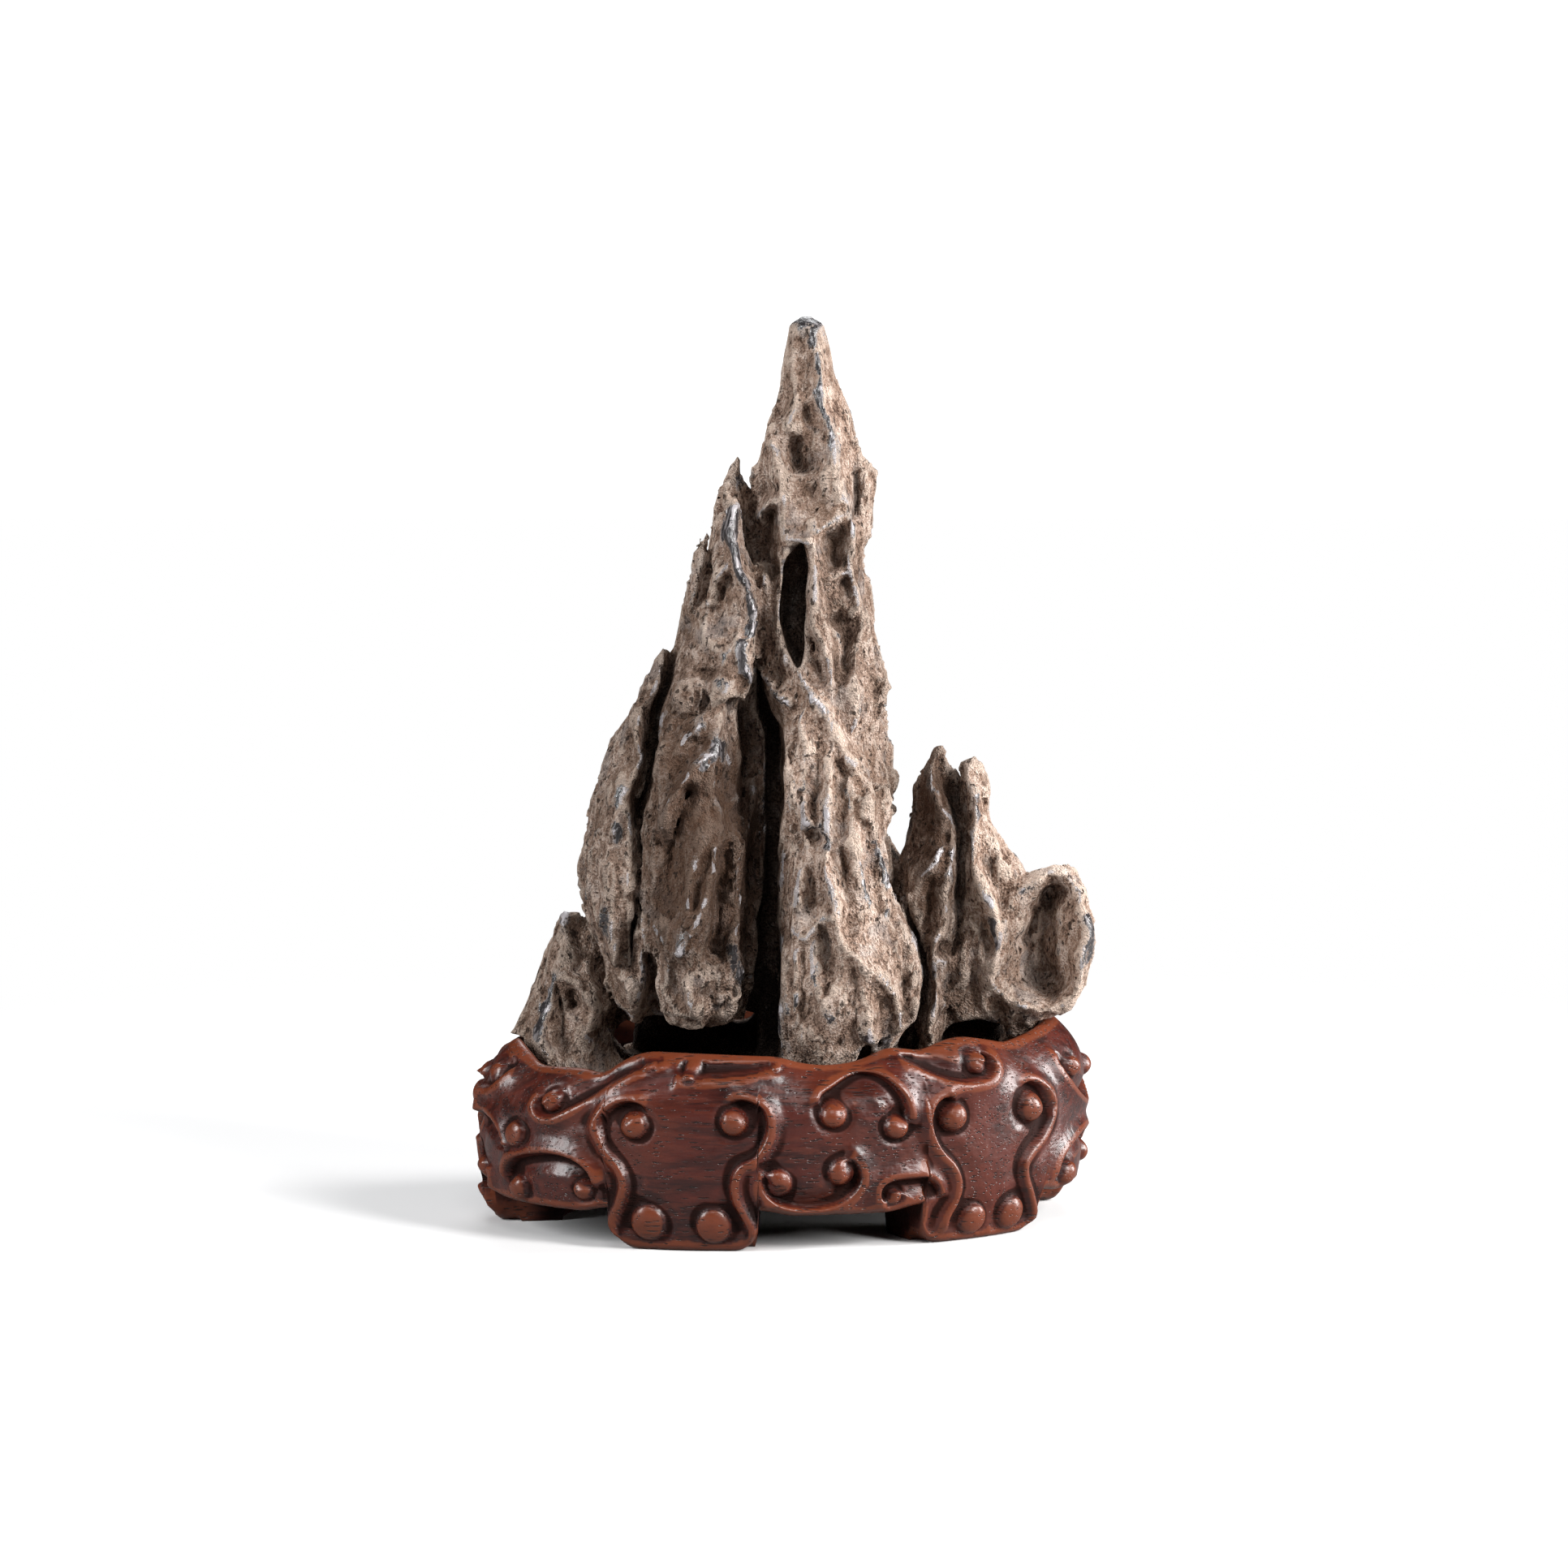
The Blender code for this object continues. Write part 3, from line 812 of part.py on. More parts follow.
def smooth_path(points, parts=4):
    """A rounded curve through the points (Catmull-Rom)."""
    p = np.array(points, float)
    p = np.vstack([2 * p[0] - p[1], p, 2 * p[-1] - p[-2]])
    curve = []
    for n in range(1, len(p) - 2):
        for t in np.arange(parts) / parts:
            curve.append(0.5 * (2 * p[n] + (p[n + 1] - p[n - 1]) * t
                                + (2 * p[n - 1] - 5 * p[n] + 4 * p[n + 1] - p[n + 2]) * t * t
                                + (3 * p[n] - p[n - 1] - 3 * p[n + 1] + p[n + 2]) * t ** 3))
    curve.append(p[-2])
    return curve


def boss_relief(arc, z, boss):
    at, level, radius, height = boss
    r = np.hypot(wrap_arc(arc - at), z - level) / radius
    dome = np.sqrt(np.clip(1.0 - r * r, 0.0, 1.0))
    ditch = smoothstep(0.85, 1.15, r) * (1.0 - smoothstep(1.25, 1.8, r))
    return height * dome - 0.45 * ditch


def carving(arc, z):
    relief = np.zeros(arc.shape)
    for shift, lips, bosses in PANELS:
        for lip in lips:
            relief += lip_relief(arc - shift, z, lip)
        for boss in bosses:
            relief += boss_relief(arc - shift, z, boss)
    return relief


def stand_surface(columns, wall_rows):
    """Rings of points from the middle of the socket floor, over the rim and down to the underside."""
    arc = (np.arange(columns) / columns * 2 - 1) * HALF_ARC
    turn = np.interp(arc, PLAN_ARC, PLAN_TURNS)
    rim = smooth_loop(arc, RIM)
    foot = foot_share(arc)
    hem = hem_height(arc)
    rings = []

    def ring(inset, z):
        px, py = plan_point(turn, inset)
        rings.append(np.stack([*to_object(px, py), z + 0 * arc], axis=1))

    for inset in FLOOR_RINGS:
        ring(SOCKET_MOUTH_INSET + SOCKET_TAPER + inset, SOCKET_FLOOR)
    for t in np.linspace(0.0, 1.0, SOCKET_WALL_ROWS):
        z = SOCKET_FLOOR + t * (rim - SOCKET_FLOOR)
        ring(socket_inset(z, rim), z)
    ring(SOCKET_MOUTH_INSET - LIP_TOP[0], rim + LIP_TOP[2])
    ring(SOCKET_MOUTH_INSET - LIP_TOP[1], rim + LIP_TOP[2])
    round_start, round_step, round_height, round_end = HEM_ROUND
    for t in np.linspace(0.0, 1.0, wall_rows):
        z = rim + t * (hem + round_start - rim)
        inset = wall_inset(z, rim)
        lift = carving(arc, z) * smoothstep(0.0, 0.05, t)
        ring(inset - lift * np.clip((z - hem) / 2.0, 0.3, 1.0), z)
    ring(wall_inset(hem, rim) + round_step, hem + round_height)
    ring(wall_inset(hem, rim) + round_end, hem)
    outer_edge, sole_start, sole_end, inner_edge = FOOT_INSETS
    ring(outer_edge, hem)
    ring(sole_start, (1.0 - foot) * UNDERSIDE_LEVEL)
    ring(sole_end, (1.0 - foot) * UNDERSIDE_LEVEL)
    ring(inner_edge, UNDERSIDE_LEVEL)
    ring(UNDERSIDE_INSET, UNDERSIDE_LEVEL)
    return rings


def stand_mesh(columns, wall_rows):
    rings = stand_surface(columns, wall_rows)
    points = np.concatenate(rings + [[[0.0, 0.0, SOCKET_FLOOR], [0.0, 0.0, UNDERSIDE_LEVEL]]])
    here = np.arange(columns)
    after = (here + 1) % columns
    faces = []
    for n in range(len(rings) - 1):
        a, b = n * columns + here, n * columns + after
        c, d = a + columns, b + columns
        faces.append(np.stack([a, c, d], axis=1))
        faces.append(np.stack([a, d, b], axis=1))
    top = np.full(columns, len(points) - 2)
    bottom = np.full(columns, len(points) - 1)
    last = (len(rings) - 1) * columns
    faces.append(np.stack([top, here, after], axis=1))
    faces.append(np.stack([last + here, bottom, last + after], axis=1))
    return points, np.concatenate(faces)


# ---------------------------------------------------------------- the two pieces
def finish(name, colour, roughness):
    material = bpy.data.materials.new(name)
    material.use_nodes = True
    surface = material.node_tree.nodes["Principled BSDF"]
    surface.inputs["Base Color"].default_value = (*colour, 1.0)
    surface.inputs["Roughness"].default_value = roughness
    surface.inputs["Metallic"].default_value = 0.0
    return material


def flatten_level(thing, level):
    """Put points that ended a hair off a flat face exactly on it."""
    for vertex in thing.data.vertices:
        if abs(vertex.co.z - level * MM) < 0.05 * MM:
            vertex.co.z = level * MM


def make_rock():
    values, lows = sample_field(make_rock_field(), ROCK_STEP)
    points, faces = largest_body(*iso_surface(values, lows, ROCK_STEP))
    rock = mesh_object("rock", points, faces, finish("weathered stone", (0.27, 0.21, 0.16), 0.8))
    reduce_mesh(rock, ROCK_TRIANGLES)
    flatten_level(rock, SOCKET_FLOOR + REST_GAP)
    return rock


def make_stand():
    points, faces = stand_mesh(STAND_COLUMNS, STAND_WALL_ROWS)
    stand = mesh_object("stand", points, faces, finish("carved dark wood", (0.13, 0.035, 0.018), 0.35))
    reduce_mesh(stand, STAND_TRIANGLES)
    flatten_level(stand, 0.0)
    return stand


def main():
    for thing in list(bpy.data.objects):
        bpy.data.objects.remove(thing, do_unlink=True)
    make_rock()
    make_stand()


main()
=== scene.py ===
"""Looks of the scholar's rock on its carved stand: fine meshes, procedural finishes, light and camera."""

import bpy
import numpy as np
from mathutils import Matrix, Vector


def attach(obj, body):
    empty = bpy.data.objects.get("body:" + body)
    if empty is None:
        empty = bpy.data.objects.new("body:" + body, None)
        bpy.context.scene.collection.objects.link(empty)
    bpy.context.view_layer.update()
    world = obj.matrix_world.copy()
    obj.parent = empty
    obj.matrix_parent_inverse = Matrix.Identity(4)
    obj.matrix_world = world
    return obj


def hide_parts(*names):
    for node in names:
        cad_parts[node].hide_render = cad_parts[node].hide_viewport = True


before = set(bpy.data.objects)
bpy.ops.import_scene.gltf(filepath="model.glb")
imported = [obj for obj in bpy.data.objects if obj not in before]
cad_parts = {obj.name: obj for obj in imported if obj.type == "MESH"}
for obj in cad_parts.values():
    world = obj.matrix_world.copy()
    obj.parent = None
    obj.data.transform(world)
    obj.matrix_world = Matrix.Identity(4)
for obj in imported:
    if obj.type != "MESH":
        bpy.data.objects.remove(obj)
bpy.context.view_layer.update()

MM = 0.001

# ---------------------------------------------------------------- driving dimensions
STAND_HALF_LENGTH = 91.2
STAND_HALF_DEPTH = 60.0
STAND_ROUNDNESS = 2.1           # exponent of the superellipse that the stand's plan follows
STAND_YAW = np.radians(9.0)     # the oval is turned a little to the rock's broad face
SOCKET_FLOOR = 36.0
FEET_AT = (-39.5, 56.0, 148.0, 242.5, -143.0)   # arc position of each foot's middle
FOOT_HALF_WIDTH = 22.5
FOOT_CORNER = 7.5
APRON_LEVEL = 10.4
UNDERSIDE_LEVEL = 14.0
REST_GAP = 0.3                  # between the rock's flat base and the socket floor
SOCKET_CLEARANCE = 0.9          # between the rock's sides and the socket wall

SOCKET_MOUTH_INSET = 12.0       # from the widest oval to the socket's mouth
SOCKET_TAPER = 6.0              # how much further in the socket's floor lies
RIM_BEAD = 1.8                  # the rock stays this far above the rim where it hangs over
RIM_SPREAD = 9.0                # how fast the rock may widen above the rim
RIM_DRAW_IN = (17.0, 9.0, 2.2)  # height, depth and power of the wall's curl inwards under the rim
HEM_DRAW_IN = (26.0, 4.4, 1.5)  # the same towards the floor
HEM_ARCH = (1.8, 12.0)          # the hem rises this much beside each foot, over this length
FOOT_BLEND = (-1.4, 0.6)        # where a foot's flat bottom turns up, from its half width
FLOOR_RINGS = (26.0, 13.0, 4.0)     # rings of the socket floor, in from its edge
SOCKET_WALL_ROWS = 7
LIP_TOP = (0.9, 1.9, 0.7)       # outward steps and height of the rim's rounded top
HEM_ROUND = (1.4, 1.0, 0.3, 2.2)    # height and steps of the rounded lower edge
FOOT_INSETS = (10.0, 12.0, 24.0, 25.5)      # outer edge, sole and inner edge of a foot
UNDERSIDE_INSET = 42.0
MASS_BLEND = 2.0
RELIEF_BOOST = 1.8
RELIEF_REACH = (16.0, 26.0)     # the front's planes fade out this far from any crest or valley
RELIEF_DEPTH = (0.0, 20.0)      # and between these depths, towards the back
NEARNESS_POWER = 4              # how strongly the nearest crest or valley sets the height
HOLE_EDGE = (0.4, 1.2)          # where a hole's wall starts and ends, in its own radii
GROUND = (45.2, 1.8, 12.0, 2.5)     # the foot that fills the socket: level, lumps, their size, blend
WEAR = 0.4                      # every face is worn back this far before it is scalloped
CALM_PEAK = (225.0, 262.0, 0.7)     # the peak loses this share of its relief between these heights
CUT_SLANT = 0.6                 # a cut's floor counts this much against its walls where they meet
FAR_OFF = 1e9                   # further than any distance here
LEAST_HALF = 10.0               # keeps the socket's oval from shrinking to nothing
RAGGED_LINE = ((6.0, 9.0, 61), (2.4, 4.0, 63), (6.0, 9.0, 62))  # width, height, seed of each wander
RIM_EASING = (-3.0, -1.5, 0.0, 1.5, 3.0)    # places along the arc that the rim is averaged over

ROCK_STEP = 1.0      # spacing of the grid that the rock is worked out on
ROCK_TRIANGLES = 196000
STAND_COLUMNS = 840
STAND_WALL_ROWS = 96

# ---------------------------------------------------------------- the rock's masses
# Each row is (height, x, y, half width, half depth) of an upright column's oval section, from its
# top down.
MASSES = {
    "peak": [
        (269.4, 7.3, 9, 0.8, 1.0), (268.6, 7.3, 9, 3.0, 3.4), (267.2, 7.4, 9, 4.6, 4.8),
        (262, 7.5, 9, 5.9, 6.2), (255, 7.4, 9, 7.4, 7.8), (248, 7.6, 9, 9.3, 9.4),
        (240, 7.4, 9, 11.4, 11), (232, 7.4, 8, 13.4, 12.5), (222, 6.8, 8, 15.4, 14.5),
        (210, 6.8, 8, 16.2, 17), (198, 6.8, 8, 15.6, 19.5), (186, 8.0, 8, 17.4, 22),
        (172, 9.0, 7, 19.0, 24), (160, 10.2, 6, 21.6, 26), (145, 9.0, 6, 18.9, 27),
        (130, 10, 6, 20.5, 28), (116, 9, 6, 20, 29), (104, 10, 6, 22, 29.5), (90, 11, 6, 24, 30),
        (65, 10, 6, 27, 31), (36, 10, 5, 29, 31)],
    "right_flake": [
        (230, 20.8, 5, 0.4, 0.8), (226.5, 21.0, 5, 1.9, 3), (219, 22.0, 5, 2.7, 5),
        (212, 22.4, 5, 2.9, 6), (205, 21.8, 6, 2.7, 6), (197, 20.6, 7, 2, 4)],
    "right_nub": [
        (135.6, 30.6, 6, 0.8, 1.5), (134.2, 31.4, 6, 2.3, 4), (131.4, 32.0, 6, 2.8, 4.6),
        (128.4, 31.0, 6, 2.4, 4), (125.0, 29.6, 6, 1.9, 4), (122.8, 31.8, 6, 2.0, 3),
        (120.8, 31.8, 6, 1.6, 2), (119.2, 30, 6, 0.6, 1)],
    "left_spire": [
        (228.4, -12.7, 10, 0.4, 0.5), (227, -13.0, 10, 1.3, 2.0), (221, -14.6, 10, 4.0, 4.5),
        (212, -14.8, 10, 5.0, 7.5), (198, -14.5, 9, 8, 10), (180, -18, 8, 9, 14), (160, -22, 6, 12, 17)],
    "head_blade": [
        (215.5, -14.9, -4, 0.6, 0.8), (213.5, -15.0, -4, 2.2, 2.4), (206, -15.2, -5, 3.8, 4.8),
        (196, -14.6, -6, 6.0, 8), (184, -14.0, -7, 8.0, 10), (172, -17, -8, 9.5, 12),
        (158, -19, -9, 10, 13)],
    "left_flake": [
        (203, -23.0, 0, 0.4, 0.6), (200, -23.0, 0, 1.4, 2.2), (193, -23.4, 0, 3.4, 5),
        (184, -24.0, -1, 4.6, 8), (172, -24.8, -2, 6.0, 11), (158, -28.6, -4, 8, 14)],
    "outer_slab": [
        (170.4, -35.0, -2, 0.6, 1.0), (168, -35.7, -2, 2.1, 4.0), (162, -36.8, -2, 3.2, 7),
        (154, -39.2, -2, 4.3, 10), (146, -43.0, -2, 5.6, 13), (136, -46.5, -3, 6.9, 16),
        (124, -48.9, -3, 8.0, 18), (110, -50.6, -4, 9.2, 19), (100, -50.6, -4, 9.4, 20),
        (86, -47.5, -5, 8.5, 20), (72, -45.0, -6, 7.4, 18), (65, -44.0, -8, 4.5, 12),
        (62, -44.0, -8, 0.8, 3)],
    "left_slab": [
        (176, -22, -7, 2, 3), (168, -24, -8, 7.5, 8), (156, -26, -9, 11, 13), (142, -27, -11, 13, 17),
        (126, -28, -12, 14, 21), (108, -28, -13, 14.5, 24), (90, -27, -13, 14.5, 25.5),
        (75, -25.5, -13, 14, 25), (66, -25, -14, 12.5, 21), (60.5, -25, -15, 8.5, 12), (59, -25, -15, 2, 3)],
    "tongue": [
        (172, 1.2, -10, 1.0, 2), (166, 3.2, -12, 3.4, 5), (158, 7.0, -13, 5.6, 8),
        (150, 10.5, -14, 8.0, 10.5), (140, 13.2, -15, 11.5, 13.5), (128, 15.0, -17, 14.0, 16),
        (116, 15.4, -18, 15.2, 17.5), (104, 15.6, -20, 16.0, 18.5), (96, 16.6, -21, 17.6, 19),
        (86, 18.4, -22, 20.0, 20), (76, 18.2, -22, 21.8, 21), (67, 17.4, -22, 22.2, 21.5),
        (60, 15.8, -22, 19.0, 20.5), (54, 15.0, -21, 14.0, 19), (48, 14.5, -19, 10.5, 17),
        (36, 14.5, -17, 9.5, 14)],
    "hill_left": [
        (139.2, 46.8, 4, 1.0, 1.2), (137, 46.4, 4, 2.6, 3), (134, 45.8, 4, 4.6, 5.4),
        (129, 44.8, 3, 5.9, 8), (122, 44.7, 2, 6.6, 11), (113, 44.0, 1, 7.4, 13), (106, 44.2, 0, 8.4, 14.5),
        (92, 43.5, -1, 8.8, 17), (78, 42.8, -2, 8.0, 18), (66, 43.0, -2, 5.6, 16),
        (58, 43.5, -2, 3.6, 15), (48, 43.5, -2, 3.0, 14), (36, 43.5, -1, 6.0, 13)],
    "hill_right": [
        (138.2, 55.6, 5, 1.6, 1.6), (136, 56.0, 5, 3.4, 4), (129, 56.2, 5, 5.2, 8), (120, 55.6, 4, 5.6, 11),
        (114, 58.0, 4, 7.6, 13), (106, 60.0, 3, 10.5, 15), (94, 60.5, 3, 12.5, 17),
        (80, 59.5, 3, 13.0, 19), (68, 58.5, 5, 12.0, 18), (56, 56, 9, 12.0, 16), (36, 53, 10, 14.0, 16)],
    "dish": [
        (107, 82.0, -2, 1.5, 1.5), (104.8, 80.8, -2, 5.6, 4), (100, 79.4, -3, 10.8, 7),
        (90, 79.4, -4, 13.4, 10), (80, 78.4, -4, 14.6, 11.5), (70, 76.8, -4, 13.0, 11),
        (62, 75.0, -3, 10.8, 9.0), (57.0, 73.6, -3, 7.5, 6), (54.5, 73.0, -3, 5, 5)],
    "foothill": [
        (92.6, -64.4, 2, 0.8, 1), (90.6, -63.6, 2, 3.0, 3), (86, -62.4, 2, 5.2, 6),
        (78, -61.6, 1, 8.2, 10), (68, -62.3, 0, 10.8, 13), (60, -65.0, 0, 12.6, 15), (54, -67.8, 0, 15.2, 16),
        (46, -64, 0, 13.6, 16), (36, -61, 0, 12, 15)],
    "left_core": [
        (180, -9, 8, 3, 5), (166, -11, 7, 9, 12), (142, -14, 7, 13, 16), (112, -16, 7, 16, 18),
        (80, -18, 8, 18, 18), (36, -16, 8, 18, 18)],
    "foothill_pillar": [
        (70, -57, 3, 2, 4), (64, -57.5, 2, 4.5, 8), (54, -58, 1, 6.4, 9), (36, -57, 1, 7.5, 10)],
    "saddle": [
        (91, -57.5, 4, 2, 3), (84, -57, 4, 5, 8), (74, -57, 3, 7.5, 11), (63, -58, 3, 7, 12)],
    "hill_core": [
        (134, 49.5, 7, 2.5, 4), (122, 50, 7, 7.5, 9), (106, 52, 7, 12, 13), (80, 53, 6, 15.5, 16),
        (58, 52, 8, 14, 15), (36, 50, 8, 16, 16)],
    "back_ridge": [
        (196, 5, 20, 2, 2), (184, 6, 22, 8, 7), (160, 4, 24, 13, 11), (130, 2, 25, 16, 14),
        (95, 2, 26, 19, 15), (60, 2, 25, 22, 15), (36, 2, 24, 22, 14)],
    "back_left": [
        (158, -28, 13, 2, 3), (148, -28, 14, 8, 8), (124, -30, 15, 13, 13), (96, -32, 16, 16, 16),
        (70, -33, 16, 17, 17), (36, -32, 15, 17, 16)],
    "back_right": [
        (117, 24, 16, 2, 3), (108, 25, 17, 7, 9), (96, 29, 18, 13, 13), (66, 34, 17, 18, 15),
        (36, 34, 16, 18, 14)],
}

# Deep cuts: (floor of the cut in y, blend, rows of (x, z, half width)) seen from the front.
CUTS = {
    "slot": (3.0, 1.2, [
        (5.2, 203, 0.6), (4.0, 198, 3.0), (3.4, 190, 4.0), (3.2, 181, 3.8), (3.2, 173, 2.6),
        (4.0, 167, 0.8)]),
    "cleft": (9.0, 1.4, [
        (-8, 166, 0.5), (-6.8, 157, 1.6), (-3.8, 148, 2.8), (-2.8, 138, 2.6), (-3.0, 126, 2.2),
        (-3.8, 112, 2.2), (-4.2, 98, 2.8), (-4.6, 84, 3.4), (-5.6, 72, 4.4), (-6.6, 58, 6.0), (-7, 40, 6.0)]),
    "spire_notch": (40.0, 0.6, [(-11.0, 232, 1.1), (-10.8, 226, 1.0), (-11.2, 221, 0.5)]),
    "cave": (24.0, 2.0, [(-46, 52.5, 5.6), (-38, 52.5, 8.5), (-28, 51, 9.5), (-16, 52, 9.0)]),
    "tunnel": (80.0, 1.2, [(-13.5, 56.4, 3.0), (-10.5, 56.8, 3.0)]),
    "left_crevice": (-6.0, 1.0, [
        (-32.8, 172, 0.8), (-34.4, 163, 1.3), (-36.6, 155, 1.5), (-39.2, 142, 1.0), (-41.2, 130, 0.6),
        (-42.4, 120, 0.1)]),
    "low_crevice": (-16.0, 1.4, [(-44.0, 98, 0.1), (-45.4, 88, 0.6), (-44.4, 76, 0.3)]),
    "tongue_crevice": (-8.0, 1.2, [
        (33.6, 103, 0.3), (36.6, 95, 0.7), (39.4, 86, 0.8), (41.0, 76, 0.8), (40.0, 64, 1.4)]),
    "hill_crevice": (-2.0, 0.9, [
        (48.6, 137, 0.8), (50, 129, 1.1), (50.6, 121, 1.2), (54.0, 115, 1.2), (52.4, 105, 0.8),
        (51.6, 96, 0.8), (51, 85, 0.2)]),
    "hill_cave": (6.0, 1.6, [(52, 55, 5.0), (58, 56, 5.2), (63.5, 55, 3.6)]),
    "flake_groove": (4.0, 0.8, [(21.6, 228, 0.8), (20.6, 218, 1.1), (20.2, 210, 0.6)]),
    "foothill_crevice": (-7.0, 1.0, [(-67.4, 76, 0.1), (-66.4, 66, 0.6), (-66.4, 56, 0.4)]),
    "notch": (-20.0, 1.2, [(23, 50, 2.6), (23.4, 56, 1.4)]),
}

# The front's planes run from crests to valleys. Crests: (height, points (x, z)).
CRESTS = [
    (2.4, [(8.5, 266), (10.3, 259), (10.5, 250), (11.5, 244), (12.6, 238), (14.5, 232), (15, 224), (16, 218),
           (18, 213), (20.4, 208), (20.2, 200), (19.6, 193), (20.6, 188), (21.6, 184)]),
    (1.6, [(5.4, 243.4), (2.6, 241), (0.8, 237.6)]),
    (2.4, [(-4.4, 238), (-3.4, 233), (-1.6, 229), (-1, 222), (-0.6, 216), (-1, 210), (0.6, 204), (4.6, 203.4),
           (8.2, 203), (9.2, 195), (9.3, 188), (8.6, 181), (10.4, 174), (12.8, 166), (13, 161)]),
    (2.0, [(-1.2, 215), (-5.6, 213.4), (-8, 210)]),
    (1.8, [(10, 206.6), (13.4, 209), (17, 211)]),
    (2.4, [(24.4, 182), (23.4, 176), (21.6, 169), (20, 163), (20.4, 154), (20.4, 147)]),
    (2.2, [(14.6, 193), (19.6, 194)]),
    (2.8, [(0.6, 200), (-0.4, 194), (-1, 184), (-0.8, 175), (0.2, 170)]),
    (3.4, [(-14.8, 214), (-15, 205), (-13.8, 198), (-10.6, 190), (-8.4, 183), (-10.2, 176), (-11.4, 168),
           (-10.4, 162)]),
    (1.8, [(-5.4, 193), (-4.6, 184), (-5.8, 176)]),
    (2.0, [(-24, 201), (-26, 192), (-28.4, 184)]),
    (2.0, [(-19.8, 193.6), (-16.8, 196.4)]),
    (3.0, [(-9.4, 165), (-5, 162), (-2.6, 158), (0.6, 157), (3.4, 156)]),
    (3.4, [(-16.8, 161), (-18, 154), (-20, 147), (-22, 142), (-27, 138), (-32, 131), (-34.5, 127),
           (-36, 121)]),
    (2.6, [(-19.6, 149), (-18, 143), (-16.2, 139)]),
    (1.2, [(-24, 151), (-28, 147), (-31.4, 142)]),
    (2.6, [(-31.4, 161), (-34.4, 154), (-37.4, 147), (-38.2, 141), (-37.4, 133), (-40, 125), (-41, 117)]),
    (2.4, [(-20.2, 122), (-24.6, 113), (-27.6, 104), (-28.6, 98)]),
    (3.0, [(-19.8, 115), (-21.2, 107), (-22.6, 100), (-25, 95), (-27.6, 88), (-31, 85)]),
    (3.2, [(-8.8, 130), (-10.8, 121), (-13.2, 111), (-14.6, 101), (-12.4, 95.4), (-14, 89), (-15.2, 84.4),
           (-12.2, 80), (-10.2, 76), (-8.8, 72)]),
    (2.6, [(-39, 111), (-40, 102), (-39.6, 94), (-36, 89), (-34, 84), (-34.4, 77), (-36, 73), (-33, 69),
           (-30.4, 65), (-28.4, 61)]),
    (2.8, [(-29.4, 76), (-27.2, 71.6), (-27, 67)]),
    (2.4, [(-15.8, 79), (-14.4, 72), (-15.4, 65)]),
    (2.6, [(-36, 170), (-38.6, 160), (-42, 152), (-43.6, 147), (-41.4, 141), (-45.4, 134), (-47.6, 129),
           (-45, 123), (-45.2, 116), (-45.8, 108), (-46, 99), (-44.8, 92)]),
    (2.2, [(-47.6, 129), (-50, 118), (-51.6, 108), (-50.6, 98), (-50.4, 89), (-49.4, 81)]),
    (2.0, [(-42.6, 93), (-41.4, 85), (-41.6, 76), (-44, 68)]),
    (2.6, [(-65.4, 91), (-68.2, 84), (-69.4, 78), (-67.6, 74), (-69, 68), (-72, 62), (-73, 56), (-70, 52)]),
    (2.6, [(-66.6, 75), (-62, 73), (-59, 69), (-56.4, 66), (-51, 64.6), (-45, 62.4)]),
    (2.0, [(-57.4, 63), (-58.6, 56), (-54.6, 51)]),
    (3.0, [(0.8, 169), (4, 166), (6.6, 162), (8.6, 158), (10.8, 155), (13, 151), (15, 148), (18, 143),
           (21, 138), (24, 133), (26.6, 128)]),
    (2.4, [(4.4, 155), (5.6, 147), (6.6, 140), (6.2, 130), (6.4, 121.6)]),
    (2.4, [(1.6, 141), (2, 130), (0.6, 120), (-0.6, 112), (-1, 103), (-0.6, 92), (-1.6, 82)]),
    (2.4, [(13, 140), (12.4, 132), (12.8, 121), (12, 113), (14, 104), (15.6, 96)]),
    (1.6, [(19.4, 130), (20.2, 120), (20.6, 110)]),
    (3.0, [(24.4, 126), (26.6, 118), (28.8, 111), (30.8, 104), (32, 99), (35, 97), (37, 92), (38.8, 86),
           (39.6, 79), (39.6, 70), (38.6, 65)]),
    (2.8, [(4, 109), (3, 103), (1.8, 96), (2.6, 90), (5.6, 88.8), (8.6, 93), (11, 95), (14.6, 95.4), (17, 91),
           (20, 86), (24, 82), (29, 78), (31.4, 74), (33.4, 69), (34.6, 62)]),
    (1.6, [(8, 92), (8, 84), (9.6, 75), (12, 72), (13.6, 67)]),
    (2.2, [(3.4, 86), (3, 76), (4, 66), (5.6, 57)]),
    (1.6, [(24, 66), (24.6, 60), (26.6, 56)]),
    (2.6, [(46, 140), (43.6, 135), (45, 128), (48, 123), (50, 120), (50.4, 115), (49.6, 107), (49, 101),
           (48.6, 97), (48, 91), (46.6, 87.6), (44.2, 85)]),
    (1.8, [(39.6, 103), (43, 106.6), (46.6, 112)]),
    (2.2, [(44.2, 85), (43.8, 78), (44.2, 72), (44, 64), (42.8, 57)]),
    (2.2, [(45.6, 79), (50, 77.6), (52.6, 74), (50.6, 70), (46.6, 66)]),
    (3.0, [(54.4, 138), (54.4, 133), (56, 128), (57, 122), (56.4, 116), (57, 109), (57.6, 104), (60, 98),
           (62.6, 95), (64, 90), (64, 85), (62.4, 80), (62, 75)]),
    (2.4, [(65, 87), (68, 94), (71, 99.6), (75, 102.6), (79.6, 105), (84, 104), (87.4, 100), (88, 95),
           (89.6, 91), (90.4, 85), (89, 78), (88.4, 72), (86.4, 68), (81, 65), (74, 64.4), (69, 65.4),
           (65, 68.4), (62.4, 73)]),
]

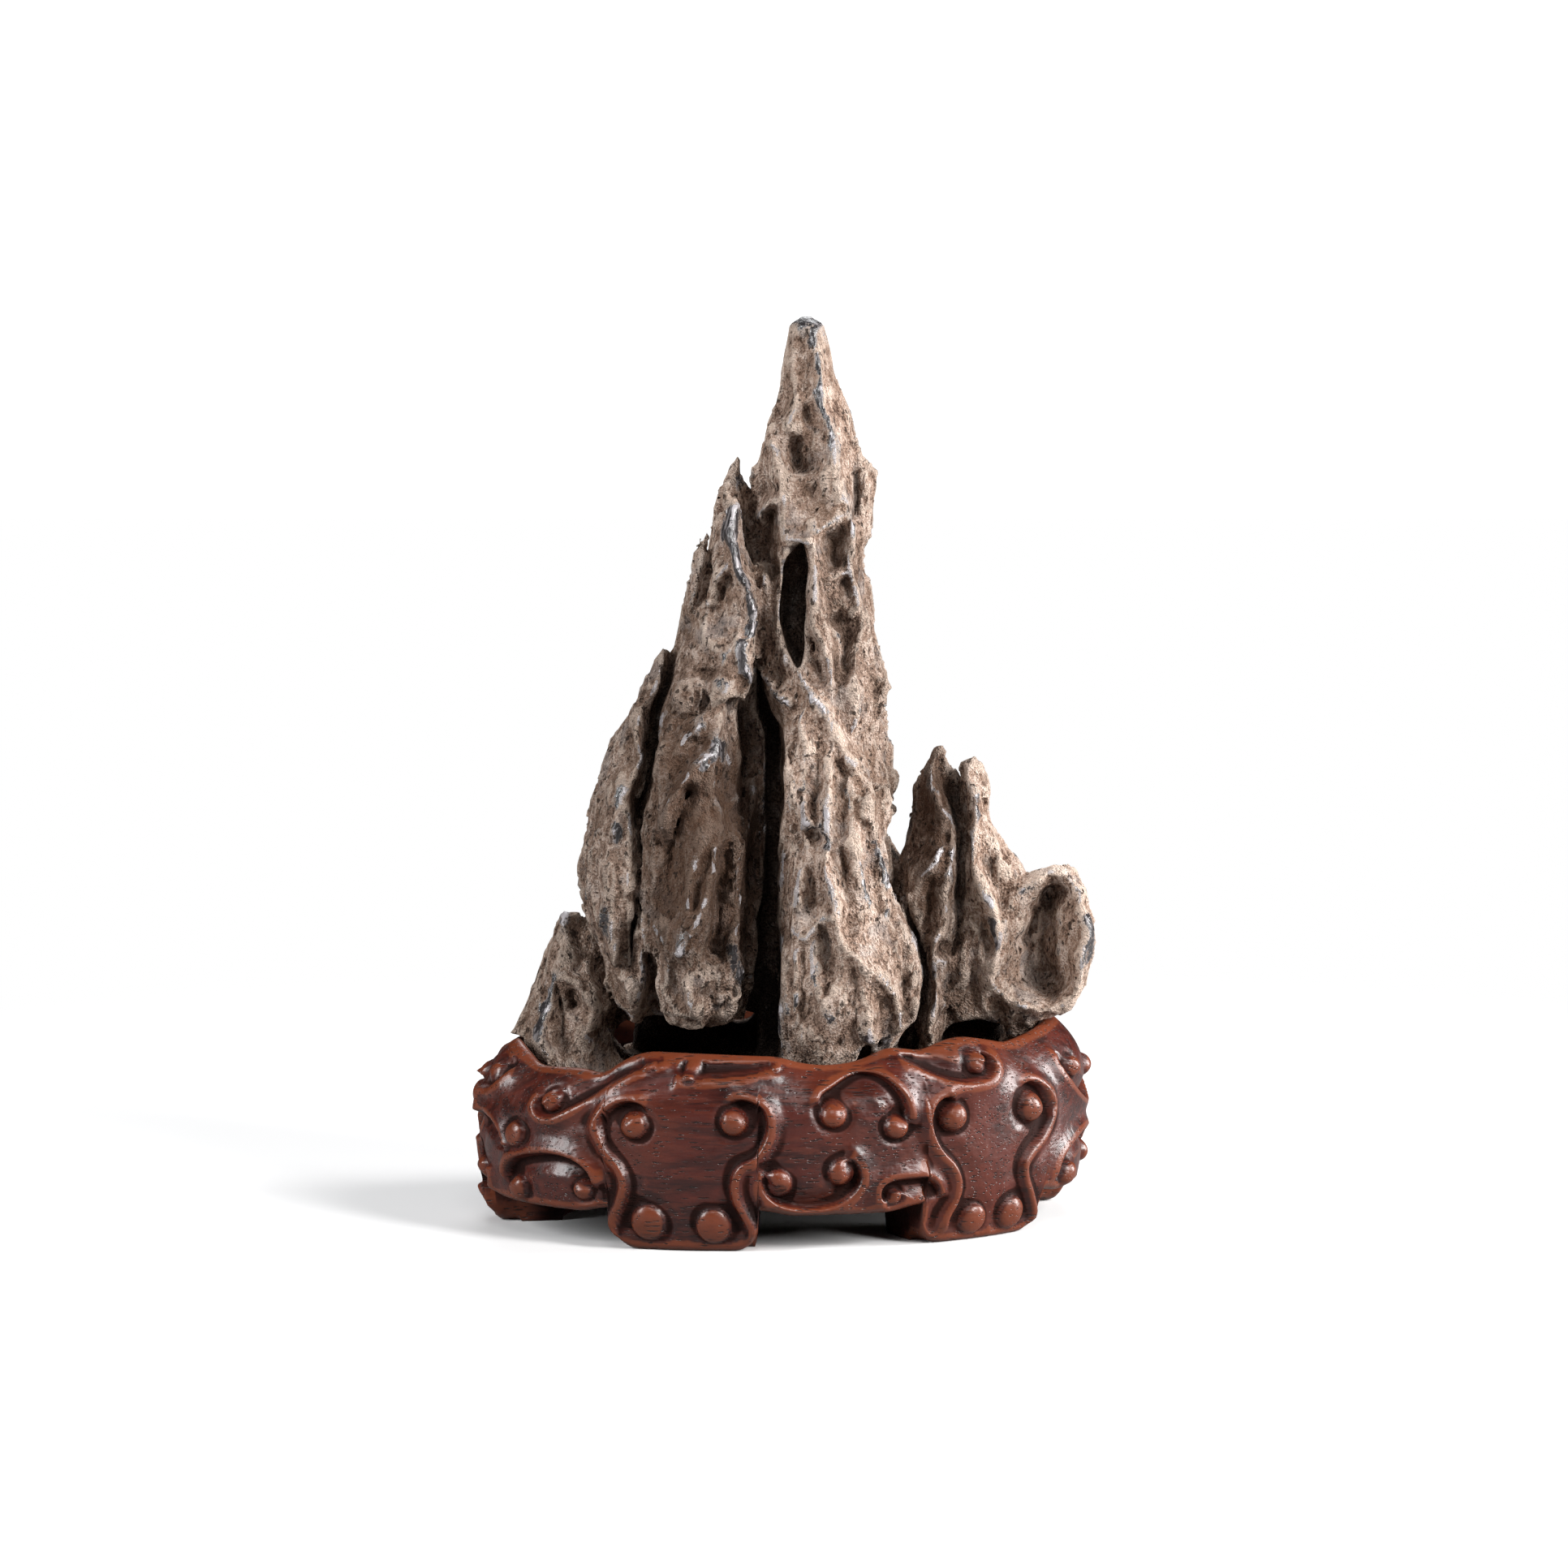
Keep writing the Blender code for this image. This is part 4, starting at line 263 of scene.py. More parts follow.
# Valleys: (depth, points (x, z)).
VALLEYS = [
    (2.6, [(-0.6, 247), (-1.4, 244), (-2.4, 240.6)]),
    (5.4, [(2.6, 230.4), (3.6, 226)]),
    (1.6, [(6.4, 243), (8, 239)]),
    (1.2, [(6.4, 262), (5.4, 254), (5.6, 248)]),
    (1.2, [(16, 250), (17.6, 242), (18, 232), (19, 223)]),
    (2.6, [(20.6, 226), (20.8, 218), (21.6, 211)]),
    (5.0, [(-7.6, 219), (-9, 212), (-10, 205), (-7.4, 198)]),
    (5.0, [(-3.6, 211), (-4, 205), (-4.6, 198), (-2.8, 193.6)]),
    (3.4, [(4.4, 201), (4, 186), (3.2, 172)]),
    (3.6, [(14, 205), (15, 200), (15.2, 196.6)]),
    (3.2, [(17.8, 191.4), (18.8, 187.4)]),
    (1.4, [(12.6, 190), (13.4, 184)]),
    (4.0, [(15.4, 181), (18.6, 176), (18.6, 168)]),
    (4.2, [(8.4, 175), (9.4, 168.6), (11, 163.6)]),
    (1.6, [(4, 221), (8, 218), (7, 212), (11, 212)]),
    (2.2, [(-18.6, 210), (-18.4, 200)]),
    (2.8, [(-17.4, 191), (-18, 184), (-20.4, 178)]),
    (1.8, [(-22.4, 195), (-23.6, 188), (-26, 181), (-28, 176)]),
    (1.2, [(-24, 172), (-22, 165)]),
    (3.2, [(-32.8, 169), (-34.2, 160), (-37, 151), (-39.8, 142), (-40.8, 133), (-43, 122)]),
    (1.8, [(-24, 157), (-28, 152), (-33, 146)]),
    (1.6, [(-24, 144), (-29, 139), (-33, 134)]),
    (5.0, [(-12, 151), (-11.4, 141), (-13.4, 131), (-14, 124)]),
    (5.0, [(-8, 161), (-7, 153)]),
    (2.2, [(-27.6, 131), (-30, 121), (-33, 108), (-33.4, 99)]),
    (1.2, [(-22.6, 113), (-25, 105), (-26, 99.4)]),
    (5.0, [(-17.4, 113), (-18.8, 105), (-18.6, 95), (-20.4, 86)]),
    (5.4, [(-7.6, 119), (-8.8, 109), (-7.8, 99)]),
    (2.8, [(-47, 90), (-46.6, 78)]),
    (2.2, [(-43.6, 86), (-42.8, 77)]),
    (2.0, [(-38, 84), (-38.4, 76), (-40.6, 68)]),
    (1.8, [(-53.4, 124), (-54.4, 112), (-54.2, 100)]),
    (2.0, [(-44, 132), (-43, 125)]),
    (1.4, [(-46, 147), (-45, 140), (-50, 137)]),
    (1.8, [(-63, 86), (-60.6, 80), (-62.4, 76)]),
    (2.6, [(-63, 69.6), (-63.8, 64.6)]),
    (2.4, [(-67.2, 70), (-66.6, 60), (-66, 53)]),
    (1.8, [(-75, 62), (-77.6, 54)]),
    (2.2, [(-54, 86), (-54.4, 77), (-50, 70)]),
    (2.0, [(-24, 72), (-21, 70), (-21, 64)]),
    (2.0, [(-34, 80), (-32, 76), (-31, 70)]),
    (1.2, [(10, 149), (9.6, 140), (10, 131), (9.6, 125)]),
    (1.0, [(16.6, 144), (17.4, 137), (16.8, 128), (16.2, 120)]),
    (1.2, [(16.6, 114), (17.4, 106), (19, 99), (20, 92)]),
    (1.6, [(9.6, 118), (8.2, 109), (8, 100)]),
    (1.0, [(23.4, 121), (23.8, 110), (26, 101), (27.4, 92)]),
    (1.6, [(11, 90), (12.6, 86), (14, 79)]),
    (1.0, [(5.4, 85), (5.6, 76), (6.4, 66)]),
    (1.0, [(20, 77), (21.6, 69), (19, 60)]),
    (1.4, [(28.6, 72), (31, 64)]),
    (1.6, [(35, 84), (34.6, 76), (36.4, 69)]),
    (1.8, [(32.6, 93), (35, 86)]),
    (2.8, [(34, 99.4), (37.6, 93), (40.8, 84), (42, 76), (41.6, 66)]),
    (2.2, [(41, 130), (41.6, 121), (40.4, 112)]),
    (2.6, [(44.4, 102), (43.6, 95), (41.6, 88)]),
    (4.2, [(46.4, 138), (48, 131), (51, 125), (54, 118.6)]),
    (3.0, [(53.6, 113), (52.4, 105), (52, 98), (51.8, 88), (50.6, 83)]),
    (3.4, [(47.6, 82), (49.4, 80.4)]),
    (2.2, [(58, 92), (60.6, 88), (60.4, 82)]),
    (2.2, [(56.6, 86), (56.4, 78), (57, 71)]),
    (2.8, [(62.6, 108), (63.4, 102), (66.2, 99), (66.6, 93)]),
    (9.5, [(79.6, 97), (78.0, 90), (77.8, 81), (79, 74)]),
    (8.5, [(75.6, 92), (74.0, 85), (74.4, 78), (77, 72)]),
]

# Holes on the front: (x, z, half width, half height, depth, lean in degrees).
HOLLOWS = [
    (-1.4, 243.6, 1.8, 4.0, 3.6, -12), (3.2, 228, 2.4, 3.2, 4.0, 0), (-28, 178, 1.3, 2.6, 2.6, -14),
    (-20.6, 183, 1.0, 2.8, 2.6, 0), (-17.2, 189, 1.2, 3.2, 2.6, -14), (-6.4, 217, 2.2, 2.6, 2.4, 0),
    (9.8, 118, 2.6, 2.2, 2.0, 0), (47.6, 81.6, 2.6, 3.0, 2.6, 0), (-63, 66.8, 3.2, 4.0, 2.0, 0),
    (36.4, 103.6, 1.0, 0.8, 1.6, 0), (60.6, 87.6, 2.0, 3.2, 1.4, 0), (33, 80, 1.0, 1.2, 1.2, 0),
]

# Scallops: (cell width, cell height, depth, seed). The level is the squared distance, in cells, at
# which a scallop neither adds nor takes away, and the edge is where it stops rising.
SCALLOPS = [(11.0, 32.0, 4.2, 11), (5.2, 13.0, 1.5, 23)]
SCALLOP_LEVEL = 0.24
SCALLOP_EDGE = 0.7
SWAY = (17.0, 1.5, 5)           # length, reach and seed of the slow bending of every wall
# Flat chips with small ledges between them: (width, height, slope, seed).
CHIPS = [(8.5, 19.0, 1.5, 81), (4.0, 7.5, 0.85, 85)]
# Ragged crests of ridged noise: (width, height, depth, seed).
CRAGS = [(1.9, 3.6, 0.34, 57)]
CRAG_LEVEL = 0.62               # the mean height of the folded noise, taken off again
# Tall flutes of the back: (width, height, depth, seed), and where in depth they set in.
BACK_FLUTES = (14.0, 64.0, 5.0, 41)
BACK_FROM = (2.0, 16.0)

# ---------------------------------------------------------------- the stand's rim and carving
# Rim height along the arc, in mm from the front middle; the right side is positive.
RIM = [
    (-228, 54), (-205, 52), (-178, 56), (-156, 53), (-130, 53.6), (-117, 55.4), (-108, 53.6), (-97, 49.6),
    (-78, 50.5),
    (-69, 49.2), (-62, 54), (-54, 56.6), (-36, 56.2), (-11, 55.3), (-3, 53.2), (4, 52.4), (12, 52.8),
    (19, 54.2), (25, 57), (32, 56.4), (38, 55.4), (46, 58), (53, 58.8), (62, 57.4), (72, 55.4),
    (88, 57.4), (104, 59.8), (118, 59.2), (132, 54), (150, 50), (174, 54), (200, 56),
]

# A lip is (side of its hollow: 1 left of its direction, -1 right; height; hollow depth at its start and
# end; moat depth at its start and end; points (arc, height)). A boss is (arc, height, radius, height out).
BROAD_LEG_LIPS = [
    (1, 1.7, (2.0, 0.0), (0.0, 2.2), [
        (-8.6, 41.6), (-12.2, 44.4), (-17.4, 44.4), (-22.8, 41.2), (-24.9, 36.6), (-22.1, 30.0),
        (-17.6, 24.5), (-16.3, 19.5), (-17.9, 14.1), (-20.4, 10.0), (-21.4, 5.6), (-20.2, 1.6)]),
    (-1, 1.7, (2.0, 0.0), (0.0, 2.2), [
        (11.6, 43.6), (17.6, 45.8), (23.6, 43.7), (25.9, 39.3), (25.3, 33.7), (22.1, 28.5), (17.1, 25.2),
        (15.4, 20.8), (15.9, 15.7), (18.2, 11.0), (20.6, 6.4), (20.2, 1.6)]),
]
BROAD_LEG_BOSSES = [
    (-13.4, 37.4, 4.0, 2.6), (15.6, 38.8, 4.0, 2.6), (-10.4, 8.6, 5.4, 2.2), (9.3, 8.0, 5.4, 2.2)]
SLIM_LEG_LIPS = [
    (1, 1.7, (2.0, 0.0), (0.0, 2.2), [
        (-11.6, 41.6), (-15.6, 44.4), (-20.0, 42.6), (-21.9, 38.4), (-21.3, 33.4), (-18.5, 28.0),
        (-13.9, 23.0), (-11.8, 17.6), (-12.6, 12.4), (-14.8, 7.6), (-14.4, 2.0)]),
    (-1, 1.7, (2.0, 0.0), (0.0, 2.2), [
        (9.0, 44.4), (15.2, 46.2), (21.0, 42.6), (23.5, 36.5), (20.0, 30.0), (14.5, 25.5), (11.4, 21.5),
        (12.0, 17.0), (15.6, 11.0), (18.6, 5.6), (18.0, 1.6)]),
]
SLIM_LEG_BOSSES = [
    (-14.4, 38.0, 4.2, 2.8), (13.6, 38.6, 4.8, 3.2), (-5.6, 6.6, 4.6, 2.2), (9.0, 7.0, 5.0, 2.2)]
FRONT_GAP_LIPS = [
    (-1, 1.6, (1.8, 1.8), (0.0, 0.0), [
        (0.6, 42.0), (1.2, 46.0), (6.2, 49.0), (11.0, 51.2), (16.0, 52.2), (21.6, 50.8), (26.0, 46.2),
        (28.0, 41.0), (27.4, 35.6)]),
    (1, 1.6, (1.8, 1.8), (0.0, 0.0), [
        (-13.6, 25.0), (-16.4, 21.6), (-15.4, 17.6), (-11.4, 14.2), (-4.6, 12.2), (3.0, 12.4), (10.0, 15.4),
        (13.6, 21.2), (11.6, 26.8), (7.0, 28.6)]),
    (-1, 1.4, (1.6, 1.6), (0.0, 0.0), [
        (23.0, 13.0), (19.4, 14.6), (19.2, 18.4), (22.4, 20.8), (28.4, 21.4), (34.6, 20.8), (38.4, 17.4),
        (38.6, 13.6)]),
    (1, 1.6, (2.0, 2.2), (0.0, 0.0), [
        (26.0, 55.6), (32.6, 52.0), (40.6, 48.4), (48.4, 46.8), (55.6, 48.4), (59.4, 52.4), (57.4, 56.0)]),
    (1, 1.4, (1.6, 1.6), (0.0, 0.0), [
        (-43.0, 51.8), (-37.0, 50.6), (-30.0, 50.4), (-17.4, 51.6), (-9.0, 54.4)]),
]
FRONT_GAP_BOSSES = [
    (5.0, 40.6, 4.0, 3.0), (23.6, 36.2, 3.6, 2.8), (-11.2, 20.6, 4.2, 2.2), (7.6, 23.6, 4.2, 2.4),
    (23.4, 15.6, 2.4, 1.0), (53.0, 52.4, 3.4, 2.4), (-37.6, 53.4, 2.8, 2.2), (-11.6, 54.8, 2.0, 1.2)]
LEFT_GAP_LIPS = [
    (-1, 1.7, (2.0, 2.0), (0.0, 0.0), [
        (-100.4, 15.6), (-99.4, 20.6), (-94.4, 24.8), (-86.6, 27.0), (-78.0, 27.8), (-70.6, 26.2),
        (-66.2, 22.4), (-65.4, 17.2)]),
    (1, 1.6, (1.6, 1.2), (0.0, 1.0), [
        (-85.4, 44.6), (-87.4, 41.0), (-84.4, 37.8), (-79.4, 37.6), (-72.6, 41.0), (-62.6, 47.2),
        (-51.0, 53.4), (-43.0, 56.0)]),
    (-1, 1.7, (1.8, 1.8), (0.0, 0.0), [
        (-127.0, 24.0), (-125.6, 30.0), (-121.0, 34.4), (-112.6, 35.8), (-104.4, 34.2), (-99.8, 30.4),
        (-98.6, 26.0)]),
    (1, 1.6, (1.8, 1.8), (0.0, 0.0), [
        (-131.0, 15.4), (-128.0, 11.8), (-122.0, 10.6), (-115.0, 11.6), (-111.4, 15.2), (-112.0, 20.0)]),
    (1, 1.5, (1.6, 1.6), (0.0, 0.0), [
        (-128.0, 46.4), (-122.0, 42.2), (-114.0, 41.6), (-107.4, 44.6), (-103.0, 50.0)]),
]
LEFT_GAP_BOSSES = [
    (-94.0, 15.4, 3.8, 2.4), (-69.4, 17.4, 3.0, 2.0), (-81.6, 42.2, 3.2, 2.6), (-51.2, 55.4, 2.6, 1.6),
    (-93.4, 31.6, 3.8, 2.2), (-118.6, 17.0, 3.8, 2.6), (-112.4, 46.6, 3.4, 2.0), (-123.6, 46.2, 3.0, 2.2)]
RIGHT_GAP_LIPS = [
    (1, 1.6, (1.8, 1.8), (0.0, 0.0), [
        (88.6, 53.4), (86.0, 50.0), (87.4, 45.6), (93.0, 40.6), (101.0, 36.6), (110.0, 34.8), (118.0, 36.4),
        (123.0, 41.0)]),
    (-1, 1.7, (2.0, 2.0), (0.0, 0.0), [
        (83.4, 13.0), (83.6, 18.8), (87.2, 23.0), (94.0, 26.2), (102.6, 27.6), (111.6, 26.8), (118.6, 23.6),
        (121.4, 18.6)]),
]
RIGHT_GAP_BOSSES = [
    (94.6, 47.0, 3.4, 2.6), (117.6, 44.0, 3.8, 3.0), (91.4, 15.2, 3.8, 2.6), (116.0, 18.4, 3.8, 2.8)]

# Each panel of carving: (shift along the arc, lips, bosses). The far side repeats the near side's motifs.
PANELS = [
    (FEET_AT[0], BROAD_LEG_LIPS, BROAD_LEG_BOSSES),
    (FEET_AT[1], SLIM_LEG_LIPS, SLIM_LEG_BOSSES),
    (FEET_AT[2], SLIM_LEG_LIPS, SLIM_LEG_BOSSES),
    (FEET_AT[3], BROAD_LEG_LIPS, BROAD_LEG_BOSSES),
    (FEET_AT[4], BROAD_LEG_LIPS, BROAD_LEG_BOSSES),
    (0.0, FRONT_GAP_LIPS, FRONT_GAP_BOSSES),
    (0.0, LEFT_GAP_LIPS, LEFT_GAP_BOSSES),
    (0.0, RIGHT_GAP_LIPS, RIGHT_GAP_BOSSES),
    (187.0, FRONT_GAP_LIPS, FRONT_GAP_BOSSES),
    (-198.0, FRONT_GAP_LIPS, FRONT_GAP_BOSSES),
]


# ---------------------------------------------------------------- small field helpers
def smoothstep(low, high, value):
    """An eased rise from 0 at low to 1 at high."""
    t = np.clip((value - low) / (high - low), 0.0, 1.0)
    return t * t * (3.0 - 2.0 * t)


def soft_min(a, b, blend):
    """The smaller of two fields, rounded where they meet."""
    h = np.clip(0.5 + 0.5 * (b - a) / blend, 0.0, 1.0)
    return b * (1.0 - h) + a * h - blend * h * (1.0 - h)


def soft_max(a, b, blend):
    """The larger of two fields, rounded where they meet."""
    return -soft_min(-a, -b, blend)


def lattice_hash(i, j, k, seed):
    """A repeatable pseudo-random value from 0 to 1 for each whole-number lattice point."""
    n = i * 374761393 + j * 668265263 + k * 2147483647 + seed * 1274126177
    n = (n ^ (n >> 13)) & 0xFFFFFFFF
    n = (n * 1103515245 + 12345) & 0xFFFFFFFF
    n = ((n ^ (n >> 16)) * 2246822519) & 0xFFFFFFFF
    return ((n ^ (n >> 15)) & 0xFFFFFF) / float(0xFFFFFF)


def value_noise(x, y, z, seed):
    """Smooth noise from -1 to 1."""
    i, j, k = (np.floor(v).astype(np.int64) for v in (x, y, z))
    fx, fy, fz = (smoothstep(0.0, 1.0, v - w) for v, w in ((x, i), (y, j), (z, k)))
    total = 0.0
    for di in (0, 1):
        for dj in (0, 1):
            for dk in (0, 1):
                share = (fx if di else 1 - fx) * (fy if dj else 1 - fy) * (fz if dk else 1 - fz)
                total = total + share * lattice_hash(i + di, j + dj, k + dk, seed)
    return 2.0 * total - 1.0


def scattered_points(x, y, z, seed):
    """For each lattice cell round a place, the way from its random point and that point's bits."""
    i, j, k = (np.floor(v).astype(np.int64) for v in (x, y, z))
    for di in (-1, 0, 1):
        for dj in (-1, 0, 1):
            for dk in (-1, 0, 1):
                a, b, c = i + di, j + dj, k + dk
                bits = (lattice_hash(a, b, c, seed) * 0xFFFFFF).astype(np.int64)
                px = x - (a + (bits & 255) / 255.0)
                py = y - (b + (bits >> 8 & 255) / 255.0)
                pz = z - (c + (bits >> 16 & 255) / 255.0)
                yield px, py, pz, bits


def cell_distance(x, y, z, seed):
    """Squared distance to the nearest of the points scattered one to a lattice cell."""
    nearest = np.full(x.shape, FAR_OFF)
    for px, py, pz, _ in scattered_points(x, y, z, seed):
        nearest = np.minimum(nearest, px ** 2 + py ** 2 + pz ** 2)
    return nearest


def chip_slopes(x, y, z, seed):
    """Tilted flats, one round each of the points scattered one to a lattice cell."""
    nearest = np.full(x.shape, FAR_OFF)
    flat = np.zeros(x.shape)
    for px, py, pz, bits in scattered_points(x, y, z, seed):
        apart = px ** 2 + py ** 2 + pz ** 2
        tilt = (bits >> 4 & 255) / 127.5 - 1.0
        lean = (bits >> 12 & 255) / 127.5 - 1.0
        closer = apart < nearest
        flat = np.where(closer, tilt * (px - py) + lean * pz, flat)
        nearest = np.where(closer, apart, nearest)
    return flat


def path_distance(x, z, points):
    """Distance to a polyline and the place along it, as a fractional point number."""
    best = np.full(x.shape, FAR_OFF)
    place = np.zeros(x.shape)
    for n in range(len(points) - 1):
        (ax, az), (bx, bz) = points[n][:2], points[n + 1][:2]
        dx, dz = bx - ax, bz - az
        t = np.clip(((x - ax) * dx + (z - az) * dz) / (dx * dx + dz * dz), 0.0, 1.0)
        d = np.hypot(x - ax - t * dx, z - az - t * dz)
        closer = d < best
        best = np.where(closer, d, best)
        place = np.where(closer, n + t, place)
    return best, place


# ---------------------------------------------------------------- the stand's plan and profile
def plan_point(turn, inset=0.0):
    """A point of the oval this far inside the stand's widest one; turn 0 is the front middle."""
    s, c = np.sin(turn), np.cos(turn)
    power = 2.0 / STAND_ROUNDNESS
    return ((STAND_HALF_LENGTH - inset) * np.sign(s) * np.abs(s) ** power,
            -(STAND_HALF_DEPTH - inset) * np.sign(c) * np.abs(c) ** power)


PLAN_TURNS = np.linspace(-np.pi, np.pi, 2881)
PLAN_X, PLAN_Y = plan_point(PLAN_TURNS)
PLAN_ARC = np.concatenate([[0.0], np.cumsum(np.hypot(np.diff(PLAN_X), np.diff(PLAN_Y)))])
HALF_ARC = PLAN_ARC[-1] / 2
PLAN_ARC -= HALF_ARC


def wrap_arc(arc):
    """The same place on the loop, as an arc position between its ends."""
    return (arc + HALF_ARC) % (2 * HALF_ARC) - HALF_ARC


def smooth_loop(arc, rows):
    """Smoothed value round the loop from rows of (arc, value)."""
    places = np.array([row[0] for row in rows], float)
    values = np.array([row[1] for row in rows], float)
    places = np.concatenate([[places[-1] - 2 * HALF_ARC], places, [places[0] + 2 * HALF_ARC]])
    values = np.concatenate([[values[-1]], values, [values[0]]])
    total = sum(np.interp(wrap_arc(arc + shift), places, values) for shift in RIM_EASING)
    return total / len(RIM_EASING)


def to_object(px, py):
    """From the stand's own axes to the object's."""
    c, s = np.cos(STAND_YAW), np.sin(STAND_YAW)
    return px * c - py * s, px * s + py * c


def socket_inset(z, rim):
    """How far the socket's wall lies inside the widest oval."""
    return SOCKET_MOUTH_INSET + SOCKET_TAPER * np.clip((rim - z) / (rim - SOCKET_FLOOR), 0.0, 1.0)


def socket_limit(x, y, z):
    """Positive where the rock would touch the stand's socket or its rim."""
    c, s = np.cos(STAND_YAW), np.sin(STAND_YAW)
    px, py = x * c + y * s, y * c - x * s
    half = STAND_ROUNDNESS / 2.0
    sine = np.sign(px) * (np.abs(px) / (STAND_HALF_LENGTH - SOCKET_MOUTH_INSET)) ** half
    cosine = -np.sign(py) * (np.abs(py) / (STAND_HALF_DEPTH - SOCKET_MOUTH_INSET)) ** half
    rim = smooth_loop(np.interp(np.arctan2(sine, cosine), PLAN_TURNS, PLAN_ARC), RIM)
    inset = socket_inset(z, rim) + SOCKET_CLEARANCE - RIM_SPREAD * np.maximum(z - rim - RIM_BEAD, 0.0)
    long_half = np.maximum(STAND_HALF_LENGTH - inset, LEAST_HALF)
    short_half = np.maximum(STAND_HALF_DEPTH - inset, LEAST_HALF)
    size = (np.abs(px) / long_half) ** STAND_ROUNDNESS + (np.abs(py) / short_half) ** STAND_ROUNDNESS
    outside = (size ** (1.0 / STAND_ROUNDNESS) - 1.0) * short_half
    return np.maximum(outside, SOCKET_FLOOR + REST_GAP - z)


def wall_inset(z, rim):
    """The bulging wall: widest at a third of its height, drawn in at the rim and at the floor."""
    rim_height, rim_depth, rim_power = RIM_DRAW_IN
    floor_height, hem_depth, hem_power = HEM_DRAW_IN
    near_rim = np.clip(1.0 - (rim - z) / rim_height, 0.0, 1.0)
    near_floor = np.clip(1.0 - z / floor_height, 0.0, 1.0)
    return rim_depth * near_rim ** rim_power + hem_depth * near_floor ** hem_power


def beside_foot(arc):
    """How far along the wall a place lies outside the nearest foot; negative over it."""
    return np.min([np.abs(wrap_arc(arc - at)) for at in FEET_AT], axis=0) - FOOT_HALF_WIDTH


def foot_share(arc):
    """One over a foot, nought over the apron between feet."""
    start, end = FOOT_BLEND
    return 1.0 - smoothstep(start, end, beside_foot(arc))


def hem_height(arc):
    """Height of the wall's lower edge: nought under a foot, round at its corners, then the apron."""
    away = beside_foot(arc)
    corner = np.clip(away / FOOT_CORNER + 1.0, 0.0, 1.0)
    foot = FOOT_CORNER * (1.0 - np.sqrt(1.0 - corner ** 2))
    rise, length = HEM_ARCH
    apron = APRON_LEVEL + rise * (1.0 - smoothstep(0.0, length, away))
    return np.where(away > 0, apron, foot)


# ---------------------------------------------------------------- the rock's shape
def column_distance(x, y, z, rows):
    """Roughly the distance to a column whose oval section changes with height."""
    levels = [row[0] for row in rows][::-1]
    cx, cy, rx, ry = (np.interp(z, levels, [row[n] for row in rows][::-1]) for n in (1, 2, 3, 4))
    qx, qy = (x - cx) / rx, (y - cy) / ry
    reach = np.sqrt(qx * qx + qy * qy) + 1e-6
    slope = np.sqrt((qx / rx) ** 2 + (qy / ry) ** 2) + 1e-6
    flat = reach * (reach - 1.0) / slope
    over = np.maximum(z - levels[-1], levels[0] - z)
    return np.where(over > 0, np.hypot(np.maximum(flat, 0), over), np.maximum(flat, over))


def waver(x, z, reach):
    """Shifts places a little, so that drawn lines turn ragged."""
    level = np.zeros(x.shape)
    broad, fine, lift = (value_noise(x / width, z / height, level, seed)
                         for width, height, seed in RAGGED_LINE)
    return x + reach * (broad + 0.5 * fine), z + reach * lift


def nearest_line(x, z, lines):
    """Distance to the nearest of these lines, and their values blended by nearness."""
    best = np.full(x.shape, FAR_OFF)
    total, weight = np.zeros(x.shape), np.zeros(x.shape)
    for value, points in lines:
        d, _ = path_distance(x, z, points)
        best = np.minimum(best, d)
        nearness = (d + 1.0) ** -NEARNESS_POWER
        total += value * nearness
        weight += nearness
    return best, total / weight


def front_relief(x, z):
    """How far the front face stands out: planes between crests and valleys, with a few holes."""
    x, z = waver(x, z, 1.0)
    to_crest, height = nearest_line(x, z, CRESTS)
    to_valley, depth = nearest_line(x, z, VALLEYS)
    share = to_valley / (to_crest + to_valley + 0.01)
    relief = RELIEF_BOOST * (height * share - depth * (1.0 - share))
    relief *= 1.0 - smoothstep(*RELIEF_REACH, np.minimum(to_crest, to_valley))
    for cx, cz, rx, rz, hole, lean in HOLLOWS:
        c, s = np.cos(np.radians(lean)), np.sin(np.radians(lean))
        u = ((x - cx) * c + (z - cz) * s) / rx
        w = ((z - cz) * c - (x - cx) * s) / rz
        relief -= hole * (1.0 - smoothstep(*HOLE_EDGE, np.hypot(u, w)))
    return relief


def cut_width(x, z, rows):
    """Distance outside the mouth of a cut, as seen from the front."""
    d, place = path_distance(*waver(x, z, 0.9), rows)
    return d - np.interp(place, range(len(rows)), [row[2] for row in rows])


class Chart:
    """Values worked out once on a sheet of (x, z), softened a little and read back by blending."""

    step = 0.6
    x0, x1, z0, z1 = -102.0, 102.0, 28.0, 276.0

    def __init__(self, function):
        xs = np.arange(self.x0, self.x1, self.step)
        zs = np.arange(self.z0, self.z1, self.step)
        values = function(*np.meshgrid(xs, zs, indexing="ij"))
        for axis in (0, 1):
            values = (np.roll(values, 1, axis) + 2.0 * values + np.roll(values, -1, axis)) / 4.0
        self.values = values

    def read(self, x, z):
        u = np.clip((x - self.x0) / self.step, 0, self.values.shape[0] - 1.001)
        w = np.clip((z - self.z0) / self.step, 0, self.values.shape[1] - 1.001)
        i, k = u.astype(int), w.astype(int)
        u, w = u - i, w - k
        low = self.values[i, k] * (1 - u) + self.values[i + 1, k] * u
        high = self.values[i, k + 1] * (1 - u) + self.values[i + 1, k + 1] * u
        return low * (1 - w) + high * w


